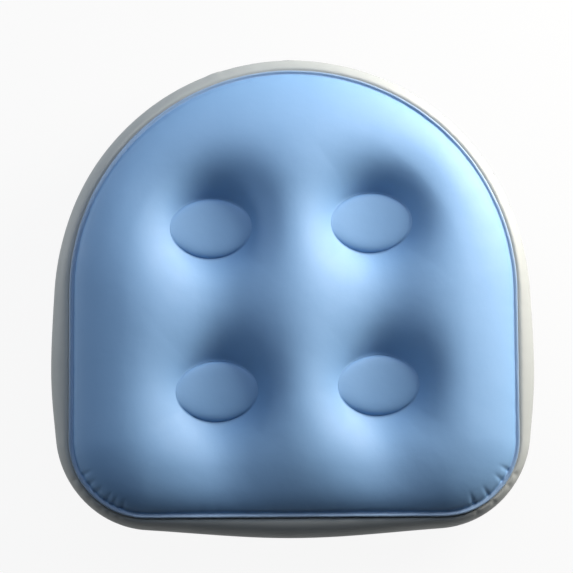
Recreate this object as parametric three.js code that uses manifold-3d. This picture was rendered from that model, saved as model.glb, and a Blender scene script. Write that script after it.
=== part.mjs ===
// Inflatable booster seat for a hot tub: a welded vinyl cushion with a round back, four tufts,
// suction cups under its base and an air valve let into its back wall.
// Units are millimetres, +Z is up and the straight front edge faces -Y.

import * as THREE from "three";
import { mergeVertices } from "three/addons/utils/BufferGeometryUtils.js";
import Module from "manifold-3d";

const wasm = await Module();
wasm.setup();

// Plan of the welds
const SEAM_RADIUS = 182; // half the width at the welds, and the plan radius of the round back
const SEAM_DEPTH = 182; // from the centre of the round back to the front weld
const CORNER_RADIUS = 63; // plan radius of the two front corners
const WELD_LIP = 3; // width of the welded edges

// Film and fits
const FILM = 0.8; // vinyl film
const GAP = 0.3; // clearance left between neighbouring pieces

// Side band
const WALL_HEIGHT = 40; // between the upper and the lower weld
const BULGE_FRONT = 17.5; // how far the band swells past the weld at the middle of the front
const BULGE_CORNER = 8.5; // at the front corners
const BULGE_SIDE = 16; // at the middle of the straight sides
const BULGE_BACK = 12; // round the back

// Top panel
const CROWN_RISE = 25; // height of the filled top above its weld
const CROWN_ROLL = 92; // distance in from the weld over which the top rises
const CROWN_SHAPE = 0.7; // below one, the top leaves the weld more steeply

// Tufts
const TUFT_PITCH_X = 131; // spacing of the buttons across the seat
const TUFT_PITCH_Y = 133; // spacing of the buttons front to back
const TUFT_GRID_SHIFT = -12; // centre of the four buttons from the centre of the round back
const TUFT_GRID_TURN = 2; // degrees by which the four buttons are turned in the panel
const TUFT_LENGTH = 68; // oval, across the seat
const TUFT_WIDTH = 52; // oval, front to back
const TUFT_SINK = 2; // drop of the oval's edge below the upper weld
const TUFT_REACH = 80; // how far each dimple spreads sideways from its oval
const TUFT_DRAW = 0.5; // share that counts of a distance front to back, as dimples run along their columns
const TUFT_LIP = 2; // flat edge of the panel round each oval hole
const BUTTON_SHOULDER = 1.8; // height of the button's edge above the panel's lip
const BUTTON_RISE = 1.5; // height of its dome above that edge
const BUTTON_CLEARANCE = 1; // between the button and the edge of the hole
const BUTTON_FLANGE = 3; // width of the flange welded under the panel

// Base panel
const BASE_DEPTH = 7; // drop of the base below its weld
const BASE_ROLL = 18; // distance in from the weld over which it drops

// Suction cups and their patches
const FOOT_INSET = 46; // cup centre from the weld line
const CUP_RADIUS = 20;
const CUP_HEIGHT = 8.5; // rim to shoulder
const CUP_HOLLOW = 5.8; // depth of the hollow
const CUP_RIM = 1.6; // width of the flat sealing edge
const NECK_RADIUS = 4;
const HEAD_RADIUS = 7;
const HEAD_HEIGHT = 3.5;
const PATCH_FILM = 1;
const PATCH_RADIUS = 19;
const POCKET_RADIUS = 10.5;
const NECK_CLEARANCE = 0.6;

// Valve
const VALVE_DROP = 3; // valve axis below the middle of the back wall
const VALVE_WALL = 1;
const DISH_RADIUS = 9.5;
const DISH_DEPTH = 8;
const VALVE_FLANGE = 3.5; // width of the flange welded inside the band
const BORE_RADIUS = 4.5;
const MOUTH_RECESS = 3.6; // mouth below the outside of the wall
const MOUTH_INNER = 6; // length of the mouth inside the cushion
const CAP_RADIUS = 7;
const CAP_THICKNESS = 2;
const PLUG_LENGTH = 4.5;
const PLUG_TIP_RADIUS = 3;
const HINGE_INSET = 1.2; // bend of the strap from the wall of the dish
const STRAP_WIDTH = 5;
const STRAP_THICKNESS = 1.2;
const TAB_WIDTH = 7;
const TAB_THICKNESS = 1.6;
const TAB_HEIGHT = 1.2;

// Heights that follow from the sizes above
const PLATE_LOW = CUP_HEIGHT + GAP;
const PLATE_HIGH = PLATE_LOW + PATCH_FILM;
const HEAD_LOW = PLATE_HIGH + GAP;
const HEAD_HIGH = HEAD_LOW + HEAD_HEIGHT;
const BASE_LOW = HEAD_HIGH + GAP;
const BASE_LIP = BASE_LOW + BASE_DEPTH;
const WALL_LOW = BASE_LIP + FILM + GAP;
const WALL_HIGH = WALL_LOW + WALL_HEIGHT;
const WALL_MIDDLE = (WALL_LOW + WALL_HIGH) / 2;
const SEAM_HIGH = WALL_HIGH + GAP + FILM;
const TUFT_RIM = SEAM_HIGH - TUFT_SINK;
const FLANGE_HIGH = TUFT_RIM - FILM - GAP;
const FLANGE_LOW = FLANGE_HIGH - FILM;

// Positions along the depth, measured from the centre of the round back
const BACK_FACE = SEAM_RADIUS + BULGE_BACK;
const FRONT_FACE = SEAM_DEPTH + BULGE_FRONT;
const CENTRE_SHIFT = (FRONT_FACE - BACK_FACE) / 2;

// Mesh steps
const FRONT_STEPS = 3;
const CORNER_STEPS = 6;
const SIDE_STEPS = 4;
const BACK_STEPS = 11;
const AXIS_STEPS = 4;
const WALL_STEPS = 10;
const ROUND_STEPS = 24;
const RING_SHARES = [0, 0.05, 0.18, 0.45]; // rows of the crown's edge, as shares of its roll
const TUFT_SHARES = [0, 0.3, 0.62, 1]; // rows from a tuft's lip out to its neighbours

const plan = (x, y) => new THREE.Vector2(x, y);

function ease(from, to, share) {
  return from + (to - from) * 0.5 * (1 - Math.cos(Math.PI * THREE.MathUtils.clamp(share, 0, 1)));
}

// Swell of the side band at a distance along the weld from the middle of the front
function bulgeAt(distance) {
  const cornerStart = SEAM_RADIUS - CORNER_RADIUS;
  const cornerLength = (CORNER_RADIUS * Math.PI) / 2;
  const sideLength = SEAM_DEPTH - CORNER_RADIUS;
  const cornerMiddle = cornerStart + cornerLength / 2;
  const sideMiddle = cornerStart + cornerLength + sideLength / 2;
  const backStart = sideMiddle + sideLength;
  if (distance < cornerMiddle) {
    return ease(BULGE_FRONT, BULGE_CORNER, distance / cornerMiddle);
  }
  if (distance < sideMiddle) {
    return ease(BULGE_CORNER, BULGE_SIDE, (distance - cornerMiddle) / (sideMiddle - cornerMiddle));
  }
  return ease(BULGE_SIDE, BULGE_BACK, (distance - sideMiddle) / (backStart - sideMiddle));
}

// Stations along the right half of the weld line, from the middle of the front to the middle of the back
function rightHalf() {
  const cornerX = SEAM_RADIUS - CORNER_RADIUS;
  const cornerY = CORNER_RADIUS - SEAM_DEPTH;
  const front = new THREE.LineCurve(plan(0, -SEAM_DEPTH), plan(cornerX, -SEAM_DEPTH));
  const corner = new THREE.EllipseCurve(
    cornerX, cornerY, CORNER_RADIUS, CORNER_RADIUS, -Math.PI / 2, 0);
  const side = new THREE.LineCurve(plan(SEAM_RADIUS, cornerY), plan(SEAM_RADIUS, 0));
  const back = new THREE.EllipseCurve(0, 0, SEAM_RADIUS, SEAM_RADIUS, 0, Math.PI / 2);
  const runs = [[front, FRONT_STEPS], [corner, CORNER_STEPS], [side, SIDE_STEPS], [back, BACK_STEPS]];
  const stations = [];
  let travelled = 0;
  for (const [curve, steps] of runs) {
    const length = curve.getLength();
    const first = stations.length === 0 ? 0 : 1;
    for (let step = first; step <= steps; step += 1) {
      const share = step / steps;
      const point = curve.getPoint(share);
      const along = curve.getTangent(share);
      stations.push({ point, out: plan(along.y, -along.x), bulge: bulgeAt(travelled + share * length) });
    }
    travelled += length;
  }
  return stations;
}

function mirrored(station) {
  return {
    point: plan(-station.point.x, station.point.y),
    out: plan(-station.out.x, station.out.y),
    bulge: station.bulge,
  };
}

// The whole weld line, anticlockwise seen from above
function weldLine() {
  const right = rightHalf();
  const left = right.slice(1, -1).reverse().map(mirrored);
  return [...right, ...left];
}

const WELD = weldLine();
const EAST = FRONT_STEPS + CORNER_STEPS + SIDE_STEPS;
const NORTH = EAST + BACK_STEPS;
const WEST = NORTH + BACK_STEPS;

function insetPoint(station, inset) {
  return station.point.clone().addScaledVector(station.out, -inset);
}

// Distance of a point of the plan in from the weld line
function insetOf(point) {
  const across = Math.abs(point.x);
  if (point.y >= 0) {
    return SEAM_RADIUS - point.length();
  }
  const cornerX = SEAM_RADIUS - CORNER_RADIUS;
  const cornerY = CORNER_RADIUS - SEAM_DEPTH;
  if (across > cornerX && point.y < cornerY) {
    return CORNER_RADIUS - Math.hypot(across - cornerX, point.y - cornerY);
  }
  return Math.min(SEAM_RADIUS - across, point.y + SEAM_DEPTH);
}

// Centres of the four tufts
const TURN = THREE.MathUtils.degToRad(TUFT_GRID_TURN);
const TUFTS = [
  { name: "back_right", right: 1, back: 1 },
  { name: "back_left", right: -1, back: 1 },
  { name: "front_left", right: -1, back: -1 },
  { name: "front_right", right: 1, back: -1 },
].map(({ name, right, back }) => {
  const offset = plan((right * TUFT_PITCH_X) / 2, (back * TUFT_PITCH_Y) / 2);
  const centre = offset.rotateAround(plan(0, 0), TURN).add(plan(0, TUFT_GRID_SHIFT));
  return { name, right, back, centre };
});

// A direction of the plan, as the tufts' own axes have it
const alongTuft = (direction) => direction.clone().rotateAround(plan(0, 0), -TURN);

// Radius in a direction of an oval that is as long as a tuft's
function ovalReach(direction, width) {
  const unit = direction.clone().normalize();
  return 1 / Math.hypot(unit.x / (TUFT_LENGTH / 2), unit.y / (width / 2));
}

// Radius of a tuft's oval in a direction of the plan
function ovalRadius(direction) {
  return ovalReach(alongTuft(direction), TUFT_WIDTH);
}

// What a tuft takes off the height of the crown
function dimple(point, tuft) {
  const away = alongTuft(point.clone().sub(tuft.centre)).multiply(plan(1, TUFT_DRAW));
  const clear = Math.max(0, away.length() - ovalReach(away, TUFT_WIDTH * TUFT_DRAW) - TUFT_LIP);
  const left = Math.max(0, 1 - clear / TUFT_REACH);
  return left ** 3;
}

function crownHeight(inset) {
  const share = THREE.MathUtils.clamp((inset - WELD_LIP) / CROWN_ROLL, 0, 1);
  return CROWN_RISE * (1 - (1 - share) ** 2) ** CROWN_SHAPE;
}

// Height of the filled top, dimples included
function topHeight(point) {
  const crown = SEAM_HIGH + crownHeight(insetOf(point));
  const free = TUFTS.reduce((share, tuft) => share * (1 - dimple(point, tuft)), 1);
  return TUFT_RIM + (crown - TUFT_RIM) * free;
}

// Height of the underside of the base, which drops from its weld to a flat
function baseHeight(point) {
  const share = THREE.MathUtils.clamp((insetOf(point) - WELD_LIP) / BASE_ROLL, 0, 1);
  return BASE_LIP - BASE_DEPTH * (1 - (1 - share) ** 2) ** CROWN_SHAPE;
}

function onTop(point) {
  return new THREE.Vector3(point.x, point.y, topHeight(point));
}

function onBase(point) {
  return new THREE.Vector3(point.x, point.y, baseHeight(point));
}

// Triangles between two rows of points, the first row on the right-hand side
function strip(outer, inner, closed) {
  const triangles = [];
  const count = closed ? outer.length : outer.length - 1;
  for (let index = 0; index < count; index += 1) {
    const next = (index + 1) % outer.length;
    triangles.push(outer[index], outer[next], inner[next]);
    triangles.push(outer[index], inner[next], inner[index]);
  }
  return triangles;
}

// Triangles from a closed row of points to one point in its middle
function fan(row, middle) {
  return row.flatMap((point, at) => [point, row[(at + 1) % row.length], middle]);
}

function surface(triangles) {
  const geometry = new THREE.BufferGeometry().setFromPoints(triangles);
  const joined = mergeVertices(geometry, 1e-3);
  joined.computeVertexNormals();
  return joined;
}

// A closed sheet under an open surface
function thicken(open, depth) {
  const position = open.getAttribute("position");
  const normal = open.getAttribute("normal");
  const index = Array.from(open.index.array);
  const count = position.count;
  const points = [];
  for (let vertex = 0; vertex < count; vertex += 1) {
    points.push(new THREE.Vector3().fromBufferAttribute(position, vertex));
  }
  for (let vertex = 0; vertex < count; vertex += 1) {
    const inward = new THREE.Vector3().fromBufferAttribute(normal, vertex);
    points.push(points[vertex].clone().addScaledVector(inward, -depth));
  }
  const faces = [];
  const edges = new Set();
  for (let corner = 0; corner < index.length; corner += 3) {
    const [a, b, c] = index.slice(corner, corner + 3);
    faces.push(a, b, c, c + count, b + count, a + count);
    edges.add(`${a}>${b}`).add(`${b}>${c}`).add(`${c}>${a}`);
  }
  for (const edge of edges) {
    const [from, to] = edge.split(">").map(Number);
    if (!edges.has(`${to}>${from}`)) {
      faces.push(to, from, from + count, to, from + count, to + count);
    }
  }
  const geometry = new THREE.BufferGeometry().setFromPoints(points);
  geometry.setIndex(faces);
  return geometry;
}

// Row of the weld line moved in by a distance
function insetRow(inset) {
  return WELD.map((station) => insetPoint(station, inset));
}

// Closed border of one quarter of the panel, anticlockwise, at a distance in from the weld
function quarterBorder(first, last, inset) {
  const row = insetRow(inset);
  const span = (last - first + row.length) % row.length;
  const arc = Array.from({ length: span + 1 }, (_, step) => row[(first + step) % row.length]);
  const border = [];
  for (let step = 0; step < AXIS_STEPS; step += 1) {
    border.push(arc[0].clone().multiplyScalar(step / AXIS_STEPS));
  }
  border.push(...arc);
  for (let step = AXIS_STEPS - 1; step > 0; step -= 1) {
    border.push(arc[span].clone().multiplyScalar(step / AXIS_STEPS));
  }
  return border;
}

// Angle of a direction round a tuft's oval, on the circle that the oval is drawn out from
function ovalAngle(direction) {
  const local = alongTuft(direction);
  return Math.atan2(local.y / TUFT_WIDTH, local.x / TUFT_LENGTH);
}

// How far out a corner of the hole lies, so that the flat sides beside it clear the oval
function cornerSpread(angles, at) {
  const count = angles.length;
  const wrap = (turn) => (turn + 4 * Math.PI) % (2 * Math.PI);
  const before = wrap(angles[at] - angles[(at + count - 1) % count]);
  const after = wrap(angles[(at + 1) % count] - angles[at]);
  return 1 / Math.cos(Math.max(before, after) / 2);
}

// Rows of points from a quarter's border in to the edge of its tuft's hole
function quarterRows(border, tuft) {
  const rays = border.map((point) => point.clone().sub(tuft.centre));
  const angles = rays.map(ovalAngle);
  const edges = rays.map((ray, at) => ovalRadius(ray) * cornerSpread(angles, at));
  const around = (extra) => rays.map((ray, at) => {
    return tuft.centre.clone().addScaledVector(ray.clone().normalize(), edges[at] + extra);
  });
  const lipRow = around(TUFT_LIP);
  const rows = TUFT_SHARES.map((share) => lipRow.map((point, at) => point.clone().lerp(border[at], share)));
  return [around(0), ...rows].reverse();
}

function topPanel() {
  const insets = [0, ...RING_SHARES.map((share) => WELD_LIP + share * CROWN_ROLL)];
  const rings = insets.map((inset) => insetRow(inset).map(onTop));
  const triangles = [];
  for (let ring = 1; ring < rings.length; ring += 1) {
    triangles.push(...strip(rings[ring - 1], rings[ring], true));
  }
  const quarters = [[EAST, NORTH], [NORTH, WEST], [WEST, 0], [0, EAST]];
  quarters.forEach(([first, last], at) => {
    const border = quarterBorder(first, last, insets[insets.length - 1]);
    const rows = quarterRows(border, TUFTS[at]).map((row) => row.map(onTop));
    for (let row = 1; row < rows.length; row += 1) {
      triangles.push(...strip(rows[row - 1], rows[row], true));
    }
  });
  return thicken(surface(triangles), FILM);
}

function basePanel() {
  const insets = [0, ...[0, 0.1, 0.4, 1].map((share) => WELD_LIP + share * BASE_ROLL)];
  const rings = insets.map((inset) => insetRow(inset).map(onBase));
  const triangles = [];
  for (let ring = 1; ring < rings.length; ring += 1) {
    triangles.push(...strip(rings[ring], rings[ring - 1], true));
  }
  const flatEdge = rings[rings.length - 1].reverse();
  triangles.push(...fan(flatEdge, new THREE.Vector3(0, 0, BASE_LOW)));
  return thicken(surface(triangles), FILM);
}

// Solids for cutting and joining
function toSolid(geometry) {
  const bare = geometry.clone();
  bare.deleteAttribute("normal");
  bare.deleteAttribute("uv");
  const joined = mergeVertices(bare, 1e-3);
  return new wasm.Manifold(new wasm.Mesh({
    numProp: 3,
    vertProperties: new Float32Array(joined.getAttribute("position").array),
    triVerts: new Uint32Array(joined.index.array),
  }));
}

function toGeometry(solid) {
  const mesh = solid.getMesh();
  const geometry = new THREE.BufferGeometry();
  geometry.setAttribute("position", new THREE.BufferAttribute(new Float32Array(mesh.vertProperties), 3));
  geometry.setIndex(Array.from(mesh.triVerts));
  return geometry;
}

// The cushion's wall as a filled block, grown or shrunk by an amount
function wallBlock(grown) {
  const half = WALL_HEIGHT / 2 + grown;
  const rows = [];
  for (let step = 0; step <= WALL_STEPS; step += 1) {
    const angle = (Math.PI * step) / WALL_STEPS;
    const height = WALL_MIDDLE - half * Math.cos(angle);
    rows.push(WELD.map((station) => {
      const point = insetPoint(station, -(station.bulge + grown) * Math.sin(angle));
      return new THREE.Vector3(point.x, point.y, height);
    }));
  }
  const triangles = [];
  for (let row = 1; row < rows.length; row += 1) {
    triangles.push(...strip(rows[row - 1], rows[row], true));
  }
  const floorEdge = rows[0].slice().reverse();
  triangles.push(...fan(floorEdge, new THREE.Vector3(0, 0, WALL_MIDDLE - half)));
  triangles.push(...fan(rows[WALL_STEPS], new THREE.Vector3(0, 0, WALL_MIDDLE + half)));
  return toSolid(new THREE.BufferGeometry().setFromPoints(triangles));
}

// Round bar along Y on the valve's axis, from one depth to another
const VALVE_HEIGHT = WALL_MIDDLE - VALVE_DROP;

function valveBar(innerRadius, outerRadius, from, to) {
  const bar = new THREE.CylinderGeometry(outerRadius, innerRadius, to - from, ROUND_STEPS);
  bar.translate(0, (from + to) / 2, VALVE_HEIGHT);
  return toSolid(bar);
}

const FLOOR_FACE = BACK_FACE - DISH_DEPTH;
const MOUTH_FACE = BACK_FACE - MOUTH_RECESS;
const MOUTH_END = FLOOR_FACE - VALVE_WALL - MOUTH_INNER;
const CAP_LOW = MOUTH_FACE + GAP;
const CAP_HIGH = CAP_LOW + CAP_THICKNESS;
const DISH_OUTSIDE = DISH_RADIUS + VALVE_WALL;
const MOUTH_OUTSIDE = BORE_RADIUS + VALVE_WALL;
const PAST = 20; // how far a cutting bar runs past what it cuts

function sideBand() {
  const opening = new THREE.Shape(insetRow(WELD_LIP));
  const core = new THREE.ExtrudeGeometry(opening, { depth: WALL_HEIGHT + 2 * PAST, bevelEnabled: false });
  core.translate(0, 0, WALL_LOW - PAST);
  const hole = valveBar(DISH_OUTSIDE + GAP, DISH_OUTSIDE + GAP, BACK_FACE - PAST, BACK_FACE + PAST);
  const band = wallBlock(0).subtract(wallBlock(-FILM)).subtract(toSolid(core)).subtract(hole);
  return toGeometry(band);
}

function valveBody() {
  const bond = wallBlock(-FILM - GAP).subtract(wallBlock(-FILM - GAP - VALVE_WALL));
  const flangeRadius = DISH_OUTSIDE + VALVE_FLANGE;
  const flange = valveBar(flangeRadius, flangeRadius, BACK_FACE - PAST, BACK_FACE + PAST).intersect(bond);
  const dishRadius = DISH_OUTSIDE;
  const dish = valveBar(dishRadius, dishRadius, FLOOR_FACE - VALVE_WALL, BACK_FACE + PAST);
  const hollow = valveBar(DISH_RADIUS, DISH_RADIUS, FLOOR_FACE, BACK_FACE + 2 * PAST);
  const mouth = valveBar(MOUTH_OUTSIDE, MOUTH_OUTSIDE, MOUTH_END, MOUTH_FACE);
  const bore = valveBar(BORE_RADIUS, BORE_RADIUS, MOUTH_END - PAST, BACK_FACE + PAST);
  const cup = dish.intersect(wallBlock(0)).add(flange).subtract(hollow);
  return toGeometry(cup.add(mouth).subtract(bore));
}

function valveFlap() {
  const flap = new THREE.CylinderGeometry(MOUTH_OUTSIDE, MOUTH_OUTSIDE, FILM, ROUND_STEPS);
  flap.translate(0, MOUTH_END - GAP - FILM / 2, VALVE_HEIGHT);
  return flap;
}

// Block on the valve's axis: width across, and its low and high ends in depth and height
function valveBlock(width, depths, heights) {
  const block = new THREE.BoxGeometry(width, depths[1] - depths[0], heights[1] - heights[0]);
  block.translate(0, (depths[0] + depths[1]) / 2, VALVE_HEIGHT + (heights[0] + heights[1]) / 2);
  return toSolid(block);
}

function valvePlug() {
  const cap = valveBar(CAP_RADIUS, CAP_RADIUS, CAP_LOW, CAP_HIGH);
  const shank = valveBar(PLUG_TIP_RADIUS, BORE_RADIUS - GAP, CAP_LOW - PLUG_LENGTH, CAP_LOW + GAP);
  const strapLow = (CAP_LOW + CAP_HIGH - STRAP_THICKNESS) / 2;
  const strapEnd = HINGE_INSET - DISH_RADIUS;
  const strap = valveBlock(STRAP_WIDTH, [strapLow, strapLow + STRAP_THICKNESS], [strapEnd, 0]);
  const tabTop = CAP_RADIUS - TAB_THICKNESS;
  const tab = valveBlock(TAB_WIDTH, [CAP_HIGH - GAP, CAP_HIGH + TAB_HEIGHT], [tabTop - TAB_THICKNESS, tabTop]);
  return toGeometry(cap.add(shank).add(strap).add(tab));
}

// Turned solid about the vertical, from a profile of [radius, height] pairs
function turned(profile) {
  const points = profile.map(([radius, height]) => plan(radius, height));
  const geometry = new THREE.LatheGeometry(points, ROUND_STEPS);
  return geometry.rotateX(Math.PI / 2);
}

// Oval domed film pad with a flange under the panel
function tuftButton() {
  const half = TUFT_LENGTH / 2;
  const edge = half - BUTTON_CLEARANCE;
  const shoulder = TUFT_RIM + BUTTON_SHOULDER;
  const dome = (share) => shoulder + BUTTON_RISE * (1 - share * share);
  const shares = [0.94, 0.75, 0.4];
  const outside = shares.map((share) => [edge * share, dome(share)]);
  const inside = shares.map((share) => [edge * share - FILM, dome(share) - FILM]).reverse();
  const pad = turned([
    [0, dome(0) - FILM],
    ...inside,
    [edge - FILM, shoulder - FILM],
    [edge - FILM, FLANGE_LOW],
    [half + BUTTON_FLANGE, FLANGE_LOW],
    [half + BUTTON_FLANGE, FLANGE_HIGH],
    [edge, FLANGE_HIGH],
    [edge, shoulder],
    ...outside,
    [0, dome(0)],
  ]);
  return pad.scale(1, TUFT_WIDTH / TUFT_LENGTH, 1);
}

// Oval film tube from the base panel up to a button's flange
function tuftTube() {
  const wall = new THREE.Shape();
  wall.absellipse(0, 0, TUFT_LENGTH / 2, TUFT_WIDTH / 2, 0, 2 * Math.PI);
  const bore = new THREE.Path();
  bore.absellipse(0, 0, TUFT_LENGTH / 2 - FILM, TUFT_WIDTH / 2 - FILM, 0, 2 * Math.PI);
  wall.holes.push(bore);
  const low = BASE_LOW + FILM + GAP;
  const tube = new THREE.ExtrudeGeometry(wall, {
    depth: FLANGE_LOW - GAP - low,
    bevelEnabled: false,
    curveSegments: ROUND_STEPS / 2,
  });
  return tube.translate(0, 0, low);
}

// Pocket welded under the base, with a hole for the neck of a cup
function cupPatch() {
  const weldLow = BASE_LOW - GAP - PATCH_FILM;
  const weldHigh = BASE_LOW - GAP;
  const hole = NECK_RADIUS + NECK_CLEARANCE;
  const slope = HEAD_HEIGHT - PATCH_FILM;
  return turned([
    [hole, PLATE_LOW],
    [POCKET_RADIUS, PLATE_LOW],
    [POCKET_RADIUS + slope, weldLow],
    [PATCH_RADIUS, weldLow],
    [PATCH_RADIUS, weldHigh],
    [POCKET_RADIUS + slope - PATCH_FILM, weldHigh],
    [POCKET_RADIUS - PATCH_FILM, PLATE_HIGH],
    [hole, PLATE_HIGH],
    [hole, PLATE_LOW],
  ]);
}

// Cup, neck and head in one moulding
function suctionCup() {
  const lip = CUP_RADIUS - CUP_RIM;
  return turned([
    [0, CUP_HOLLOW],
    [lip * 0.6, CUP_HOLLOW * 0.84],
    [lip * 0.85, CUP_HOLLOW * 0.45],
    [lip, 0],
    [CUP_RADIUS, 0],
    [CUP_RADIUS, CUP_RIM / 2],
    [CUP_RADIUS * 0.82, CUP_HEIGHT * 0.5],
    [CUP_RADIUS * 0.5, CUP_HEIGHT * 0.9],
    [NECK_RADIUS, CUP_HEIGHT],
    [NECK_RADIUS, HEAD_LOW],
    [HEAD_RADIUS, HEAD_LOW],
    [HEAD_RADIUS - 1, HEAD_HIGH],
    [0, HEAD_HIGH],
  ]);
}

// Centre of the suction cup that stands in a tuft's quarter of the base
function footCentre({ right, back }) {
  const slant = Math.SQRT1_2;
  if (back > 0) {
    const reach = SEAM_RADIUS - FOOT_INSET;
    return plan(right * reach * slant, reach * slant);
  }
  const reach = CORNER_RADIUS - FOOT_INSET;
  const cornerX = SEAM_RADIUS - CORNER_RADIUS;
  const cornerY = CORNER_RADIUS - SEAM_DEPTH;
  return plan(right * (cornerX + reach * slant), cornerY - reach * slant);
}

function vinyl(colour, roughness) {
  return new THREE.MeshStandardMaterial({ color: colour, roughness, metalness: 0 });
}

const BLUE = vinyl(0x8db6de, 0.45);
const GREY = vinyl(0xd9dddb, 0.5);
const CLEAR = vinyl(0xc9dbe8, 0.25);

const seat = new THREE.Group();
seat.name = "hot_tub_booster_seat";

function place(name, geometry, material, at, turn) {
  const mesh = new THREE.Mesh(geometry, material);
  mesh.name = name;
  mesh.position.set(at.x, at.y + CENTRE_SHIFT, 0);
  mesh.rotation.z = turn;
  seat.add(mesh);
}

const MIDDLE = plan(0, 0);
place("top_panel", topPanel(), BLUE, MIDDLE, 0);
place("side_band", sideBand(), GREY, MIDDLE, 0);
place("base_panel", basePanel(), GREY, MIDDLE, 0);
for (const tuft of TUFTS) {
  place(`tuft_button_${tuft.name}`, tuftButton(), BLUE, tuft.centre, TURN);
  place(`tuft_tube_${tuft.name}`, tuftTube(), GREY, tuft.centre, TURN);
  place(`cup_patch_${tuft.name}`, cupPatch(), GREY, footCentre(tuft), 0);
  place(`suction_cup_${tuft.name}`, suctionCup(), CLEAR, footCentre(tuft), 0);
}
place("valve_body", valveBody(), GREY, MIDDLE, 0);
place("valve_flap", valveFlap(), CLEAR, MIDDLE, 0);
place("valve_plug", valvePlug(), GREY, MIDDLE, 0);

export default seat;
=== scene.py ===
# %% [markdown]
# # An air-filled booster seat for a hot tub
# The real seat is a cushion of soft PVC film. A blue top, a pale side wall and a pale base are
# welded together along their edges, and four oval pads are pulled down by tubes inside. Suction
# cups hold it to the bench, and an air valve sits in the back wall.
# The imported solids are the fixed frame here. Each film is rebuilt as a finer sheet in the same
# place, blown out by a short cloth simulation, and given the finish of the real vinyl.

# %% Load the frame
import math

import bmesh
import bpy
import numpy as np
from mathutils import Matrix, Vector


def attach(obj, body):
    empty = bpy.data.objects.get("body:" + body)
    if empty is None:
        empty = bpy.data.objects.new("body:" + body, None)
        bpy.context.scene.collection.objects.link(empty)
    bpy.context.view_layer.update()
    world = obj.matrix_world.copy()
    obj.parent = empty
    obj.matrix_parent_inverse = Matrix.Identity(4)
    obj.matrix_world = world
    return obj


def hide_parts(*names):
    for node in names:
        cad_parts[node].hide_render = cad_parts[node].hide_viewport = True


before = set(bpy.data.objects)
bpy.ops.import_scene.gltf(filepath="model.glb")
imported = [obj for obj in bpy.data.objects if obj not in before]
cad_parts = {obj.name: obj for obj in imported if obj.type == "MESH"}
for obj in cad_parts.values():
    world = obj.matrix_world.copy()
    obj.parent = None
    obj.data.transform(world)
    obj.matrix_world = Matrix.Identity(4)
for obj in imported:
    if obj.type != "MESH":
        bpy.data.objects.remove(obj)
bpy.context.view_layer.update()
scene = bpy.context.scene
scene.view_settings.view_transform = "Standard"

# %% [markdown]
# ## Camera
# The photograph was taken from above with a long lens, leaning a few degrees to the seat's front
# and left, so that a little more of the wall shows there. The view could be set by trial, but
# here it comes from the outline and the weld measured in the photograph, and the camera is turned
# by its own three axes, which needs no aiming constraint.

# %% Camera
IMAGE_SIDE = 573
FOCAL_PIXELS = 1920
SENSOR = 36
CAMERA_TARGET = Vector((-0.0064, 0.0069, 0.063))
CAMERA_DISTANCE = 1.56
LEAN_LEFT = 0.041
LEAN_FRONT = 0.09
CAMERA_ROLL = 0.0055


def linked(name, data):
    """A new object of the scene that holds a lens, a mesh or a lamp."""
    item = bpy.data.objects.new(name, data)
    scene.collection.objects.link(item)
    return item


def place_camera():
    backward = Vector((-math.tan(LEAN_LEFT), -math.tan(LEAN_FRONT), 1)).normalized()
    upward = Vector((math.sin(CAMERA_ROLL), math.cos(CAMERA_ROLL), 0))
    right = upward.cross(backward).normalized()
    upward = backward.cross(right)
    lens = bpy.data.cameras.new("photograph_view")
    lens.sensor_width = SENSOR
    lens.lens = FOCAL_PIXELS * SENSOR / IMAGE_SIDE
    camera = linked("photograph_view", lens)
    camera.matrix_world = Matrix((right, upward, backward)).transposed().to_4x4()
    camera.location = CAMERA_TARGET + CAMERA_DISTANCE * backward
    scene.camera = camera
    return camera


camera = place_camera()
print("lens, mm:", round(camera.data.lens, 1))

# %% [markdown]
# ## Sizes
# These are the sizes of the solids, in millimetres, so that each film lands where its solid is.
# The plan is drawn from the centre of the round back, and the frame's own origin is the middle of
# the whole plan, so one small shift joins the two.

# %% Sizes of the seat
MM = 0.001
TINY = 1e-9  # keeps divisions and signs clear of zero
PLAN_SHIFT = 2.75
SEAM_RADIUS = 182
SEAM_DEPTH = 182
CORNER_RADIUS = 63
WELD_LIP = 3
FILM = 0.8
WALL_LOW = 22
WALL_HIGH = 62
SEAM_HIGH = 63.1
BASE_LIP = 20.9
BASE_LOW = 13.9
TUFT_RIM = 61.1
BULGES = {"front": 17.5, "corner": 8.5, "side": 16, "back": 12}

FRONT_RUN = SEAM_RADIUS - CORNER_RADIUS
CORNER_RUN = CORNER_RADIUS * math.pi / 2
SIDE_RUN = SEAM_DEPTH - CORNER_RADIUS
BACK_RUN = SEAM_RADIUS * math.pi / 2
CORNER_END = FRONT_RUN + CORNER_RUN
SIDE_END = CORNER_END + SIDE_RUN
HALF_WELD = SIDE_END + BACK_RUN
print("weld line, mm:", round(2 * HALF_WELD))

# %% [markdown]
# ## The weld line
# Every film starts at the weld: a straight front, two rounded corners, straight sides and a half
# circle behind. A curve object could carry this line, but the film's height depends on how far a
# point is from the weld, so the line is kept as plain arithmetic that works both ways.

# %% The weld line in plan


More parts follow.
